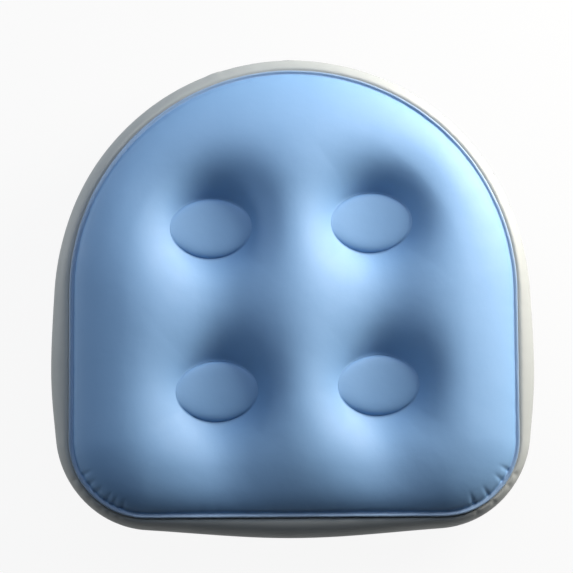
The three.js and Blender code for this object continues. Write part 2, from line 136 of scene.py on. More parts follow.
def weld_point(travel):
    """Plan points and outward directions at distances from the front's middle, on the right half."""
    turn = np.clip((travel - FRONT_RUN) / CORNER_RADIUS, 0, math.pi / 2)
    swing = np.clip((travel - SIDE_END) / SEAM_RADIUS, 0, math.pi / 2)
    along_front = np.minimum(travel, FRONT_RUN)
    along_side = np.clip(travel - CORNER_END, 0, SIDE_RUN)
    x = along_front + CORNER_RADIUS * np.sin(turn) - SEAM_RADIUS * (1 - np.cos(swing))
    y = CORNER_RADIUS * (1 - np.cos(turn)) + along_side + SEAM_RADIUS * np.sin(swing) - SEAM_DEPTH
    heading = turn + swing
    return np.stack([x, y], 1), np.stack([np.sin(heading), -np.cos(heading)], 1)


def weld_line(counts):
    """Stations all round the weld, anticlockwise: points, outward directions, signed distances."""
    ends = np.array([0, FRONT_RUN, CORNER_END, SIDE_END, HALF_WELD])
    runs = [np.linspace(a, b, n, endpoint=False) for a, b, n in zip(ends[:-1], ends[1:], counts)]
    travel = np.append(np.concatenate(runs), HALF_WELD)
    points, out = weld_point(travel)
    mirror = np.array([-1, 1])
    points = np.concatenate([points, points[-2:0:-1] * mirror])
    out = np.concatenate([out, out[-2:0:-1] * mirror])
    return points, out, np.concatenate([travel, -travel[-2:0:-1]])


def inset_of(points):
    """How far plan points lie in from the weld."""
    across = np.abs(points[:, 0])
    depth = points[:, 1]
    corner = CORNER_RADIUS - np.hypot(across - FRONT_RUN, depth + SIDE_RUN)
    straight = np.minimum(SEAM_RADIUS - across, depth + SEAM_DEPTH)
    front = np.where((across > FRONT_RUN) & (depth < -SIDE_RUN), corner, straight)
    return np.where(depth >= 0, SEAM_RADIUS - np.hypot(across, depth), front)


def travel_of(points):
    """Signed distance along the weld, from the front's middle, of the weld next to plan points."""
    across = np.abs(points[:, 0])
    depth = points[:, 1]
    corner = FRONT_RUN + CORNER_RADIUS * np.arctan2(across - FRONT_RUN, -SIDE_RUN - depth)
    side = np.where(SEAM_RADIUS - across < depth + SEAM_DEPTH, SIDE_END + depth, across)
    front = np.where((across > FRONT_RUN) & (depth < -SIDE_RUN), corner, side)
    back = SIDE_END + SEAM_RADIUS * np.arctan2(depth, across)
    return np.where(depth >= 0, back, front) * np.sign(points[:, 0] + TINY)


def eased(first, last, share):
    return first + (last - first) * 0.5 * (1 - np.cos(math.pi * np.clip(share, 0, 1)))


def bulge_at(travel):
    """How far the wall swells past the weld."""
    distance = np.abs(travel)
    corner_middle = FRONT_RUN + CORNER_RUN / 2
    side_middle = CORNER_END + SIDE_RUN / 2
    to_side = (distance - corner_middle) / (side_middle - corner_middle)
    front = eased(BULGES["front"], BULGES["corner"], distance / corner_middle)
    side = eased(BULGES["corner"], BULGES["side"], to_side)
    back = eased(BULGES["side"], BULGES["back"], (distance - side_middle) / SIDE_RUN)
    return np.where(distance < corner_middle, front, np.where(distance < side_middle, side, back))


WELD_COUNTS = (32, 40, 28, 68)
WELD_POINTS, WELD_OUT, WELD_TRAVEL = weld_line(WELD_COUNTS)
print("weld stations:", len(WELD_POINTS))

# %% [markdown]
# ## The four tufts and the height of the top
# The pads stand in a grid that is turned by two degrees in the film. Round each pad the film rises
# steeply and then levels out, as a blown film does round a held point, and the dimples of one
# column run into each other, so that a ridge stands between the columns. In such a valley the rim of
# a hole bends like a saddle, up at the ends of its long axis. The height is one product, the crown
# over the weld times what each tuft leaves of it, and the bend of the rims is added to it.

# %% Tufts and heights
CROWN_RISE = 25
CROWN_ROLL = 92
CROWN_SHAPE = 0.7
CROWN_CORNER = 35
TUFT_PITCH = np.array([131, 133])
TUFT_SHIFT = -12
TUFT_TURN = math.radians(2)
TUFT_HALF = np.array([32.4, 24.8])
TUFT_REACH = 85
TUFT_DRAW = 0.5
TUFT_END_DRAWS = {1: 0.9, -1: 0.42}
TUFT_POWER = 3.8
RIM_LIFT = 8
RIM_FADE = 25
TUFT_LIP = 0.8
HALVINGS = 24
SIDES = {"back_right": (1, 1), "back_left": (-1, 1), "front_left": (-1, -1), "front_right": (1, -1)}


def turned_plan(points, angle):
    cosine, sine = math.cos(angle), math.sin(angle)
    return np.asarray(points, float) @ np.array([[cosine, sine], [-sine, cosine]])


TUFTS = {name: turned_plan(np.array(side) * TUFT_PITCH / 2, TUFT_TURN) + (0, TUFT_SHIFT)
         for name, side in SIDES.items()}


def clear_of_oval(points, centre, draw=1):
    """Distance of plan points outside a tuft's oval, where only a share of the way to the back counts."""
    counted = np.column_stack([np.ones(len(points)), np.full(len(points), draw)])
    local = turned_plan(points - centre, -TUFT_TURN) * counted
    length = np.maximum(np.linalg.norm(local, axis=1), TINY)
    share = np.linalg.norm(local / length[:, None] / (TUFT_HALF * counted), axis=1)
    return length - 1 / np.maximum(share, TINY)


def end_share(points, centre):
    """0 on a tuft's short axis, up to 1 at the ends of its long axis."""
    local = turned_plan(points - centre, -TUFT_TURN) / TUFT_HALF
    return (local[:, 0] / np.maximum(1, np.linalg.norm(local, axis=1))) ** 2


def rim_lift(points, centre):
    """How far a tuft's rim bends: up at the ends of its oval's long axis, and down as far between them."""
    fade = np.exp(-np.maximum(0, clear_of_oval(points, centre)) / RIM_FADE)
    return RIM_LIFT * (end_share(points, centre) - 0.5) * fade


def crown_inset(points):
    """As inset_of, with level lines that stay round inside the front corners, where others would crease."""
    from_side = SEAM_RADIUS - np.abs(points[:, 0])
    from_front = SEAM_DEPTH + points[:, 1]
    shrink = CORNER_RADIUS - CROWN_CORNER
    low = np.zeros(len(points))
    high = np.full(len(points), float(SEAM_RADIUS))
    for _ in range(HALVINGS):
        middle = (low + high) / 2
        radius = CROWN_CORNER + shrink * np.exp(-middle / shrink)
        past_side = np.maximum(middle + radius - from_side, 0)
        past_front = np.maximum(middle + radius - from_front, 0)
        inside = np.hypot(past_side, past_front) < radius
        low = np.where(inside, middle, low)
        high = np.where(inside, high, middle)
    return np.where(points[:, 1] >= 0, inset_of(points), low)


def crown_height(inset):
    share = np.clip((inset - WELD_LIP) / CROWN_ROLL, 0, 1)
    return CROWN_RISE * (1 - (1 - share) ** 2) ** CROWN_SHAPE


def top_height(points):
    crown = SEAM_HIGH + crown_height(crown_inset(points))
    free = np.ones(len(points))
    lift = np.zeros(len(points))
    for name, centre in TUFTS.items():
        lift += rim_lift(points, centre)
        back = SIDES[name][1]
        at_end = (points[:, 1] - centre[1]) * back > 0
        draw = np.where(at_end, TUFT_END_DRAWS[back], TUFT_DRAW)
        clear = np.maximum(0, clear_of_oval(points, centre, draw) - TUFT_LIP)
        free *= 1 - np.maximum(0, 1 - clear / TUFT_REACH) ** TUFT_POWER
    return TUFT_RIM + (crown - TUFT_RIM) * free + lift


print("tuft centres, mm:", {name: np.round(centre, 1).tolist() for name, centre in TUFTS.items()})

# %% [markdown]
# ## Meshes from rows of points
# A welded film is a sheet, and a sheet is easily made from rows of points that run the same way,
# with a quad between each pair. One helper lays the rows, and another makes them a Blender object
# at the origin, with its place in its mesh. The others move, refine and thicken a sheet.

# %% Mesh helpers
PLAN_ORIGIN = np.array([0, PLAN_SHIFT, 0])
MERGE_MM = 0.01


def quads_between(rows, closed=True):
    """Points and quads of a sheet whose rows are given from the right-hand side to the left."""
    width = len(rows[0])
    at = np.arange(width if closed else width - 1)
    after = (at + 1) % width
    strip = np.stack([at, after, width + after, width + at], 1)
    return np.concatenate(rows), np.concatenate([strip + row * width for row in range(len(rows) - 1)])


def joined(sheets):
    """Several sheets as one list of points and one of faces."""
    points = [sheet[0] for sheet in sheets]
    starts = np.cumsum([0] + [len(part) for part in points])
    return np.concatenate(points), np.concatenate([sheet[1] + start for sheet, start in zip(sheets, starts)])


def metres(points):
    """Millimetres of the plan as metres of the frame."""
    return (np.asarray(points, float) + PLAN_ORIGIN) * MM


def points_of(mesh):
    """A mesh's points in millimetres of the plan."""
    flat = np.zeros(len(mesh.vertices) * 3)
    mesh.vertices.foreach_get("co", flat)
    return flat.reshape(-1, 3) / MM - PLAN_ORIGIN


def move_points(mesh, points):
    mesh.vertices.foreach_set("co", metres(points).ravel())
    mesh.update()


def edit_mesh(mesh, work):
    """Runs a mesh operation, given as a function of the opened mesh."""
    shape = bmesh.new()
    shape.from_mesh(mesh)
    work(shape)
    shape.to_mesh(mesh)
    shape.free()


def finished(name, mesh, material):
    """A smooth object of one material from a mesh."""
    mesh.materials.append(material)
    mesh.shade_smooth()
    return linked(name, mesh)


def make_piece(name, points, faces, material):
    """An object at the origin from points in millimetres, with its doubled points merged."""
    mesh = bpy.data.meshes.new(name)
    mesh.from_pydata(metres(points).tolist(), [], faces.tolist())
    edit_mesh(mesh, lambda shape: bmesh.ops.remove_doubles(shape, verts=shape.verts, dist=MERGE_MM * MM))
    return finished(name, mesh, material)


def apply_modifiers(piece):
    """Keeps what the modifiers show as a plain mesh."""
    graph = bpy.context.evaluated_depsgraph_get()
    mesh = bpy.data.meshes.new_from_object(piece.evaluated_get(graph), depsgraph=graph)
    piece.modifiers.clear()
    piece.data = mesh


def refine(piece):
    smooth = piece.modifiers.new("finer", "SUBSURF")
    smooth.levels = 1
    smooth.render_levels = 1
    apply_modifiers(piece)


def thicken(piece):
    wall = piece.modifiers.new("film", "SOLIDIFY")
    wall.thickness = FILM * MM
    wall.offset = -1
    wall.use_even_offset = True
    apply_modifiers(piece)


def set_weld(mesh, amount):
    """Stores how much of each point lies in a weld, which the finishes read."""
    weld = mesh.attributes.new("weld", "FLOAT", "POINT")
    weld.data.foreach_set("value", np.asarray(amount, np.float32))


# %% [markdown]
# ## Air
# A film takes its shape from the air behind it. The rise could be drawn by hand alone, but a short
# cloth simulation finds how the film settles between the welds that hold it. Gravity is off, the
# welds are pinned, and no point goes further than a set reach, so the film stays on its solid. The
# swell is evened between neighbouring points, because the photograph shows no wrinkles there.

# %% Cloth simulation
AIR_FRAMES = 20
EVEN_ROUNDS = 80
EVEN_SHARE = 0.8
SOFT_VINYL = {"mass": 0.1, "tension_stiffness": 5, "compression_stiffness": 5, "shear_stiffness": 5,
              "bending_stiffness": 0.5, "shrink_min": -0.015}


def evened(mesh, values, held):
    """Draws each free point's values towards the mean of its neighbours, where nearer ones count more."""
    ends = np.zeros(len(mesh.edges) * 2, int)
    mesh.edges.foreach_get("vertices", ends)
    ends = ends.reshape(-1, 2)
    one, two = np.concatenate([ends, ends[:, ::-1]]).T
    places = points_of(mesh)
    near = 1 / np.linalg.norm(places[one] - places[two], axis=1)
    total = np.bincount(one, near, len(values))[:, None]
    share = np.where(held, 0, EVEN_SHARE)[:, None]
    for _ in range(EVEN_ROUNDS):
        sums = np.stack([np.bincount(one, near * column[two], len(values)) for column in values.T], 1)
        values = values + share * (sums / total - values)
    return values


def inflate(piece, held, pressure, reach):
    """Blows a film out for some frames, evens the swell, and keeps every point within reach of its start."""
    start = points_of(piece.data)
    group = piece.vertex_groups.new(name="held")
    group.add(np.nonzero(held)[0].tolist(), 1.0, "REPLACE")
    air = piece.modifiers.new("air", "CLOTH")
    air.settings.vertex_group_mass = group.name
    air.settings.use_pressure = True
    air.settings.uniform_pressure_force = pressure
    air.settings.effector_weights.gravity = 0
    for name, value in SOFT_VINYL.items():
        setattr(air.settings, name, value)
    air.point_cache.frame_end = AIR_FRAMES
    for number in range(1, AIR_FRAMES + 1):
        scene.frame_set(number)
    graph = bpy.context.evaluated_depsgraph_get()
    blown = bpy.data.meshes.new_from_object(piece.evaluated_get(graph), depsgraph=graph)
    move = points_of(blown) - start
    bpy.data.meshes.remove(blown)
    piece.modifiers.clear()
    piece.vertex_groups.clear()
    scene.frame_set(1)
    move = evened(piece.data, move, held)
    length = np.maximum(np.linalg.norm(move, axis=1), TINY)
    move *= (reach * np.tanh(length / reach) / length)[:, None]
    move_points(piece.data, start + move)
    print(piece.name, "blown out by up to", round(float(length.max()), 1), "mm, kept to", reach)


# %% [markdown]
# ## Colours and nodes
# Colours are written as the sRGB hex values that a paint chart would give, and one function turns
# them into the linear values that the shader sockets take. One more function adds a node with its
# settings and its inputs, where an input is either a value or the output of another node. The node
# trees below are built from short functions that stand on that one.

# %% Colour and node helpers


def linear(hex_colour):
    channels = [int(hex_colour[at:at + 2], 16) / 255 for at in (1, 3, 5)]
    return [c / 12.92 if c <= 0.04045 else ((c + 0.055) / 1.055) ** 2.4 for c in channels] + [1.0]


def fill_inputs(tree, node, inputs):
    """Sets a node's inputs to values, or links them where another node's output is given."""
    for name, value in inputs.items():
        if isinstance(value, bpy.types.NodeSocket):
            tree.links.new(value, node.inputs[name])
        else:
            node.inputs[name].default_value = value


def add_node(tree, kind, settings=None, inputs=None):
    node = tree.nodes.new(kind)
    for name, value in (settings or {}).items():
        setattr(node, name, value)
    fill_inputs(tree, node, inputs or {})
    return node


def out_of(tree, kind, settings=None, inputs=None):
    """The first output of a new node."""
    return add_node(tree, kind, settings, inputs).outputs[0]


def math_of(tree, operation, first, second=0.0):
    return out_of(tree, "ShaderNodeMath", {"operation": operation}, {0: first, 1: second})


def per_metre(millimetres):
    """A noise scale whose blotches are about this many millimetres wide."""
    return 1 / (millimetres * MM)


def noise_of(tree, place, width, detail=2.0):
    return out_of(tree, "ShaderNodeTexNoise", None,
                  {"Vector": place, "Scale": per_metre(width), "Detail": detail})


def range_of(tree, share, low, high):
    return out_of(tree, "ShaderNodeMapRange", None, {"Value": share, "To Min": low, "To Max": high})


def colour_mix(tree, share, first, second):
    """A blend of two colours, each given as linear values or as the output of a node."""
    blend = add_node(tree, "ShaderNodeMix", {"data_type": "RGBA"}, {0: share, 6: first, 7: second})
    return blend.outputs[2]


def new_material(name):
    """A material with its node tree, its shader and the place of a point on the object."""
    material = bpy.data.materials.new(name)
    material.use_nodes = True
    tree = material.node_tree
    place = add_node(tree, "ShaderNodeTexCoord").outputs["Object"]
    return material, tree, tree.nodes["Principled BSDF"], place


# %% [markdown]
# ## Vinyl film
# The films are calendered PVC: rolled between hot cylinders, which leaves a satin skin with a very
# fine grain, and slow waves where the soft sheet has been pulled. An even colour would look like
# paint, so the blue drifts a little over the sheet, and the sheen varies. In a weld the film was
# pressed flat between hot electrodes, which leaves it smoother and, where blue lies on pale film,
# greyer. The meshes carry a weld attribute that says where that is.

# %% Vinyl film
GRAIN_MM = 1.3  # the real grain is about 0.15 mm, drawn coarser so that it shows
GRAIN_BUMP = {"Strength": 0.25, "Distance": 0.00006}
WAVE_MM = 14
WAVE_BUMP = {"Strength": 0.35, "Distance": 0.0006}
DRIFT_MM = 60
SATIN_SPREAD = 0.06
SHEEN = {"IOR": 1.53, "Specular IOR Level": 0.95}  # plasticiser on the skin adds to the sheen


def vinyl_film(name, colours, roughness, weld_roughness):
    """A film in two colours that it drifts between, with a third one in its welds."""
    material, tree, shader, place = new_material(name)
    weld = add_node(tree, "ShaderNodeAttribute", {"attribute_name": "weld"}).outputs["Fac"]
    first, second, welded = [linear(colour) for colour in colours]
    sheet = colour_mix(tree, noise_of(tree, place, DRIFT_MM), first, second)
    smear = noise_of(tree, place, WAVE_MM, 3.0)
    satin = range_of(tree, smear, roughness - SATIN_SPREAD, roughness + SATIN_SPREAD)
    pressed = out_of(tree, "ShaderNodeMix", {"data_type": "FLOAT"}, {0: weld, 2: satin, 3: weld_roughness})
    waves = out_of(tree, "ShaderNodeBump", None, {**WAVE_BUMP, "Height": smear})
    grain = noise_of(tree, place, GRAIN_MM)
    skin = out_of(tree, "ShaderNodeBump", None, {**GRAIN_BUMP, "Height": grain, "Normal": waves})
    shade = colour_mix(tree, weld, sheet, welded)
    fill_inputs(tree, shader, {"Base Color": shade, "Roughness": pressed, "Normal": skin, **SHEEN})
    return material


BLUE_FILM = vinyl_film("blue_calendered_pvc", ["#7BA9D8", "#71A0CF", "#7F9FC4"], 0.68, 0.6)
PALE_FILM = vinyl_film("pale_calendered_pvc", ["#A8AFB0", "#A0A7A8", "#9DA4A6"], 0.6, 0.5)
print("films:", BLUE_FILM.name, PALE_FILM.name)

# %% [markdown]
# ## Soft clear vinyl
# Suction cups and valve flaps are moulded from clear plasticised PVC. It is glossy, lets light
# through, and has a faint blue cast. Real transmission is used, with a little roughness, because
# the moulding's skin is never as clean as glass.

# %% Soft clear vinyl
FLOW_MM = 5
FLOW_BUMP = {"Strength": 0.2, "Distance": 0.0001}
BLOOM = (0.14, 0.26)  # roughness
MOULDING = {"Transmission Weight": 0.7, "IOR": 1.52}


def clear_vinyl():
    material, tree, shader, place = new_material("clear_moulded_pvc")
    flow = noise_of(tree, place, FLOW_MM)
    tint = colour_mix(tree, flow, linear("#CFE0EC"), linear("#DCE9F1"))
    bloom = range_of(tree, flow, *BLOOM)
    skin = out_of(tree, "ShaderNodeBump", None, {**FLOW_BUMP, "Height": flow})
    fill_inputs(tree, shader, {"Base Color": tint, "Roughness": bloom, "Normal": skin, **MOULDING})
    return material


CLEAR_VINYL = clear_vinyl()
print("moulding:", CLEAR_VINYL.name)

# %% [markdown]
# ## Top film
# The top is one blue sheet with four oval holes. Rings of quads follow the weld, where the film
# turns up sharply, and inside them a net of quads surrounds each hole, so that the dimples have
# clean rows round them. A remesh would lose the weld and the rims, so the sheet is laid row by row.

# %% Top film, laid as rows
TOP_INSETS = [0, 1, 2, 3, 4, 5.2, 7, 10, 14, 20, 29, 41]
TUFT_SHARES = [0, 0.02, 0.05, 0.09, 0.14, 0.2, 0.28, 0.37, 0.47, 0.58, 0.7, 0.84, 1]
AXIS_STEPS = 28


def raised(plan, height):
    return np.column_stack([plan, height(plan)])


def quarter_border(first, last):
    """Closed border of one quarter of the sheet: out along an axis, along the ring, and back in."""
    ring = WELD_POINTS - TOP_INSETS[-1] * WELD_OUT
    span = (last - first) % len(ring)
    arc = ring[(first + np.arange(span + 1)) % len(ring)]
    shares = np.arange(AXIS_STEPS)[:, None] / AXIS_STEPS
    return np.concatenate([arc[0] * shares, arc, (arc[-1] * shares)[:0:-1]])


def quarter_rows(border, centre):
    """Rows from a quarter's border in to the edge of its hole."""
    length = np.linalg.norm(border - centre, axis=1)
    edge = length - clear_of_oval(border, centre)
    lip, middle, rim = (centre + (border - centre) * ((edge + out) / length)[:, None]
                        for out in (TUFT_LIP, TUFT_LIP / 2, 0))
    rows = [border + (lip - border) * (1 - share) for share in reversed(TUFT_SHARES)]
    return rows + [middle, rim]


def top_sheet():
    rings = [raised(WELD_POINTS - inset * WELD_OUT, top_height) for inset in TOP_INSETS]
    sheets = [quads_between(rings)]
    east = sum(WELD_COUNTS[:3])
    north = sum(WELD_COUNTS)
    west = north + WELD_COUNTS[3]
    quarters = {"back_right": (east, north), "back_left": (north, west),
                "front_left": (west, 0), "front_right": (0, east)}
    for name, (first, last) in quarters.items():
        rows = quarter_rows(quarter_border(first, last), TUFTS[name])
        sheets.append(quads_between([raised(row, top_height) for row in rows]))
    return joined(sheets)


top_film = make_piece("blue_top_film", *top_sheet(), BLUE_FILM)
print("top film, quads before it is refined:", len(top_film.data.polygons))

# %% [markdown]
# The welds and the rims of the holes hold the sheet, and the air does the rest. A blown sheet is
# refined once, so that its folds are round.

# %% Top film, blown out
HELD_BY_WELD = 1.5
HELD_BY_RIM = 0.3


def nearest_tuft(points):
    """Distance outside the nearest oval."""
    return np.min([clear_of_oval(points, centre) for centre in TUFTS.values()], axis=0)


plan = points_of(top_film.data)[:, :2]
at_weld = inset_of(plan) < WELD_LIP + HELD_BY_WELD
at_rim = nearest_tuft(plan) < TUFT_LIP + HELD_BY_RIM
inflate(top_film, at_weld | at_rim, pressure=40, reach=5)
refine(top_film)
print("top film, quads:", len(top_film.data.polygons))

# %% [markdown]
# ## Puckers
# Where the weld turns a corner, the film has more length than the weld gives it, and gathers into
# short folds that point away from the weld. The photograph shows a row of them at the front left
# corner, a few at the front right, and faint ones round the back. Each is a shallow valley across
# the weld. They are drawn after the simulation, because the welds are finer than its mesh.

# %% Puckers along the weld
CORNER_PUCKERS = [(-171, -148), (-168, -157), (-162, -164), (-154, -171), (-148, -174), (-140, -176),
                  (173, -146), (169, -155), (158, -168), (145, -175)]
FOLD_SEED = 11
CORNER_FOLDS = {"depth": (1.5, 2.1), "length": (9, 13), "width": (1.7, 2.1)}
FAINT_FOLDS = {"depth": (0.15, 0.5), "length": (6, 12), "width": (2.2, 3.4)}
FAINT_STEPS = (12, 27)
CLEAR_OF_CORNERS = 9


def pucker_list():
    """Rows of distance along the weld, depth, length and width."""
    chance = np.random.default_rng(FOLD_SEED)
    corner = travel_of(np.array(CORNER_PUCKERS, float))
    rows = [[travel] + [chance.uniform(*span) for span in CORNER_FOLDS.values()] for travel in corner]
    travel = -HALF_WELD
    while travel < HALF_WELD:
        if np.abs(corner - travel).min() > CLEAR_OF_CORNERS:
            rows.append([travel] + [chance.uniform(*span) for span in FAINT_FOLDS.values()])
        travel += chance.uniform(*FAINT_STEPS)
    return np.array(rows)


PUCKERS = pucker_list()
PUCKER_TAPER = 1.5
FOLD_START = 3.2
FOLD_FADE = (2.6, 1.5)  # start and run
WELD_RIDGE = (0.9, 1.4, 1.1)  # size, place and spread, from the weld inwards
WELD_CREASE = (0.7, 4.2, 1.0)
WELD_INNER = 3.6
WELD_FADE = 0.8


def pucker_depth(inset, travel):
    """Depth of the folds at places near the weld."""
    depth = np.zeros(len(inset))
    for centre, deep, length, width in PUCKERS:
        away = (travel - centre + HALF_WELD) % (2 * HALF_WELD) - HALF_WELD
        run = np.clip(inset / length, 0, 1)
        depth += deep * np.exp(-((away / width) ** 2)) * (1 - run) ** PUCKER_TAPER
    return depth


def hump(inset, size, place, spread):
    return size * np.exp(-(((inset - place) / spread) ** 2))


def faded(distance, start, run):
    """0 up to a start, then up to 1 over a run."""
    return np.clip((distance - start) / run, 0, 1)


def weld_share(inset):
    """1 in a weld, down to 0 at its inner edge."""
    return 1 - faded(inset, WELD_INNER - WELD_FADE, WELD_FADE)


def dress_top(mesh):
    """Presses the weld's crease and the folds into the blown sheet."""
    points = points_of(mesh)
    plan = points[:, :2]
    inset = inset_of(plan)
    folds = pucker_depth(np.maximum(inset - FOLD_START, 0), travel_of(plan))
    points[:, 2] += hump(inset, *WELD_RIDGE) - hump(inset, *WELD_CREASE)
    points[:, 2] -= folds * faded(inset, *FOLD_FADE)
    move_points(mesh, points)
    set_weld(mesh, weld_share(inset))


dress_top(top_film.data)
thicken(top_film)
print("puckers:", len(PUCKERS), "top film, faces:", len(top_film.data.polygons))

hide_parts("top_panel")
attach(top_film, "cushion")

# %% [markdown]
# ## Side film
# The wall is one pale strip between the two welds, blown out to a half oval that is widest on the
# straight runs and narrower round the corners. At each weld the film dips into a crease. The strip
# closes in an upright lap behind, beside the valve.

# %% Side film
WALL_MIDDLE = (WALL_LOW + WALL_HIGH) / 2
WALL_HALF = (WALL_HIGH - WALL_LOW) / 2
WALL_ANGLES = np.linspace(0, math.pi, 19)
WALL_HELD = 0.7


def level_row(plan, height):
    return np.column_stack([plan, np.full(len(plan), height)])


def side_rows():
    """Rows from the lower to the upper weld, with a flat lip inside each."""
    lip = WELD_POINTS - WELD_LIP * WELD_OUT
    rows = [level_row(lip, WALL_LOW)]
    for angle in WALL_ANGLES:
        swell = bulge_at(WELD_TRAVEL) * math.sin(angle)
        height = WALL_MIDDLE - WALL_HALF * math.cos(angle)
        rows.append(level_row(WELD_POINTS + swell[:, None] * WELD_OUT, height))
    return rows + [level_row(lip, WALL_HIGH)]


side_film = make_piece("pale_side_film", *quads_between(side_rows()), PALE_FILM)
height = points_of(side_film.data)[:, 2]
held = np.minimum(height - WALL_LOW, WALL_HIGH - height) < WALL_HELD
inflate(side_film, held, pressure=20, reach=2)
refine(side_film)
print("side film, quads:", len(side_film.data.polygons))

# %% [markdown]
# The same folds that gather the top also gather the wall below the weld, and smaller ones stand at
# the lower weld. Near the valve the wall is left even, because the valve's flange stiffens it.

# %% Side film, creased and folded
VALVE_HEIGHT = 39
VALVE_HOLE = 10.8
UPPER_FOLDS, UPPER_SQUEEZE = 0.8, 1.1
LOWER_FOLDS, LOWER_SQUEEZE = 0.5, 1.4
QUIET_START, QUIET_RUN = 4, 8
LAP_TRAVEL = -560
LAP_WIDTH = 9
LAP_RISE = 0.45
LAP_EDGE = 1
PUSH_RUN = 2
DIP_DEPTH, DIP_WIDTH, DIP_REACH = 1.5, 2, 0.5
WALL_WELD = 1.2


def direction_out(plan):
    """Outward direction of the weld next to plan points."""
    travel = travel_of(plan)
    _, out = weld_point(np.abs(travel))
    return out * np.column_stack([np.sign(travel), np.ones(len(travel))])


def dress_side(mesh):
    """Adds the lap, presses in the folds, and dips the film into the creases at both welds."""
    points = points_of(mesh)
    plan, height = points[:, :2], points[:, 2]
    past = -inset_of(plan)
    travel = travel_of(plan)
    folds = UPPER_FOLDS * pucker_depth((WALL_HIGH - height) * UPPER_SQUEEZE, travel)
    folds += LOWER_FOLDS * pucker_depth((height - WALL_LOW) * LOWER_SQUEEZE, -travel)
    lap = LAP_RISE * (1 - faded(np.abs(travel - LAP_TRAVEL), (LAP_WIDTH - LAP_EDGE) / 2, LAP_EDGE))
    from_valve = np.where(plan[:, 1] > 0, np.hypot(plan[:, 0], height - VALVE_HEIGHT), np.inf)
    quiet = faded(from_valve, VALVE_HOLE + QUIET_START, QUIET_RUN)
    push = (lap - folds * quiet) * faded(past, 0, PUSH_RUN)
    dip = hump(np.maximum(past, 0), DIP_DEPTH, 0, DIP_WIDTH) * (past > -DIP_REACH)
    moved = np.column_stack([plan + direction_out(plan) * push[:, None],
                             height + np.where(height > WALL_MIDDLE, -dip, dip)])
    move_points(mesh, moved)
    set_weld(mesh, 1 - faded(past, 0, WALL_WELD))


dress_side(side_film.data)
thicken(side_film)

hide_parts("side_band")
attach(side_film, "cushion")

# %% [markdown]
# ## Base film
# The base is the third sheet. It drops from its weld to a flat, swells a little between the places
# that hold it, and stays flat where the tubes and the pockets of the suction cups are welded on.
# Rings that shrink to one middle point would pinch there, so inside the rings lies a square net.

# %% Base film
BASE_ROLL = 18
BASE_INSETS = [0, 1.5, 3, 4, 6, 9, 14, 21]
BASE_COUNTS = (16, 20, 14, 34)
CUP_INSET = 46
POCKET_RADIUS = 19
HELD_BY_TUBE = 5
HELD_BY_POCKET = 4


def cup_centre(side):
    """Plan place of the suction cup under one quarter of the seat."""
    right, back = side
    if back > 0:
        reach = (SEAM_RADIUS - CUP_INSET) * math.sqrt(0.5)
        return np.array([right * reach, reach])
    reach = (CORNER_RADIUS - CUP_INSET) * math.sqrt(0.5)
    return np.array([right * (FRONT_RUN + reach), -SIDE_RUN - reach])


CUPS = {name: cup_centre(side) for name, side in SIDES.items()}


def base_height(points):
    share = np.clip((inset_of(points) - WELD_LIP) / BASE_ROLL, 0, 1)
    return BASE_LIP - (BASE_LIP - BASE_LOW) * (1 - (1 - share) ** 2) ** CROWN_SHAPE


def net_inside(ring):
    """Rows of a square net, from the back to the front, whose edge is a ring of points."""
    side = len(ring) // 4
    ring = np.roll(ring, side // 2, axis=0)
    ring = np.concatenate([ring, ring[:1]])
    front, right, back, left = (ring[at * side:(at + 1) * side + 1] for at in range(4))
    back, left = back[::-1], left[::-1]
    across = np.linspace(0, 1, side + 1)[:, None]
    rows = []
    for at, up in enumerate(np.linspace(0, 1, side + 1)):
        between = front * (1 - up) + back * up + left[at] * (1 - across) + right[at] * across
        low = front[0] * (1 - across) + front[-1] * across
        high = back[0] * (1 - across) + back[-1] * across
        rows.append(between - low * (1 - up) - high * up)
    return rows[::-1]


def base_sheet():
    points, out, _ = weld_line(BASE_COUNTS)
    rings = [points - inset * out for inset in reversed(BASE_INSETS)]
    edge = quads_between([raised(ring, base_height) for ring in rings])
    net = quads_between([raised(row, base_height) for row in net_inside(rings[0])], closed=False)
    return joined([edge, net])


base_film = make_piece("pale_base_film", *base_sheet(), PALE_FILM)
plan = points_of(base_film.data)[:, :2]
near_cup = np.min([np.linalg.norm(plan - centre, axis=1) for centre in CUPS.values()], axis=0)
at_tube = np.abs(nearest_tuft(plan)) < HELD_BY_TUBE
at_pocket = near_cup < POCKET_RADIUS + HELD_BY_POCKET
inflate(base_film, (inset_of(plan) < BASE_ROLL) | at_tube | at_pocket, pressure=20, reach=2.5)
refine(base_film)
set_weld(base_film.data, weld_share(inset_of(points_of(base_film.data)[:, :2])))
thicken(base_film)
print("base film, faces:", len(base_film.data.polygons))

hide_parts("base_panel")
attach(base_film, "cushion")

# %% [markdown]
# ## Tuft pads
# Each pad is an oval of the same blue film, welded to a tube that holds it down. Its face bends with
# the rim of its hole, hollow along its long axis and domed across it. The edge is rolled and dives
# under the rim, and a flange lies under the top film. A turned disc would have an even edge, but
# here the edge is deep across and flush at the ends, so each ring takes its height from one formula.

# %% Tuft pads
PAD_DIVE = 0.5
PAD_GROOVE = 1.2
PAD_STEP = 3.2
PAD_RISE = 1.2
PAD_ROLL = 9
PAD_RINGS = 22
WELD_GAP = 0.3
FLANGE_HIGH = TUFT_RIM - FILM - WELD_GAP
FLANGE_LOW = FLANGE_HIGH - FILM
FLANGE_WIDTH = 3
PAD_SIDES = 128


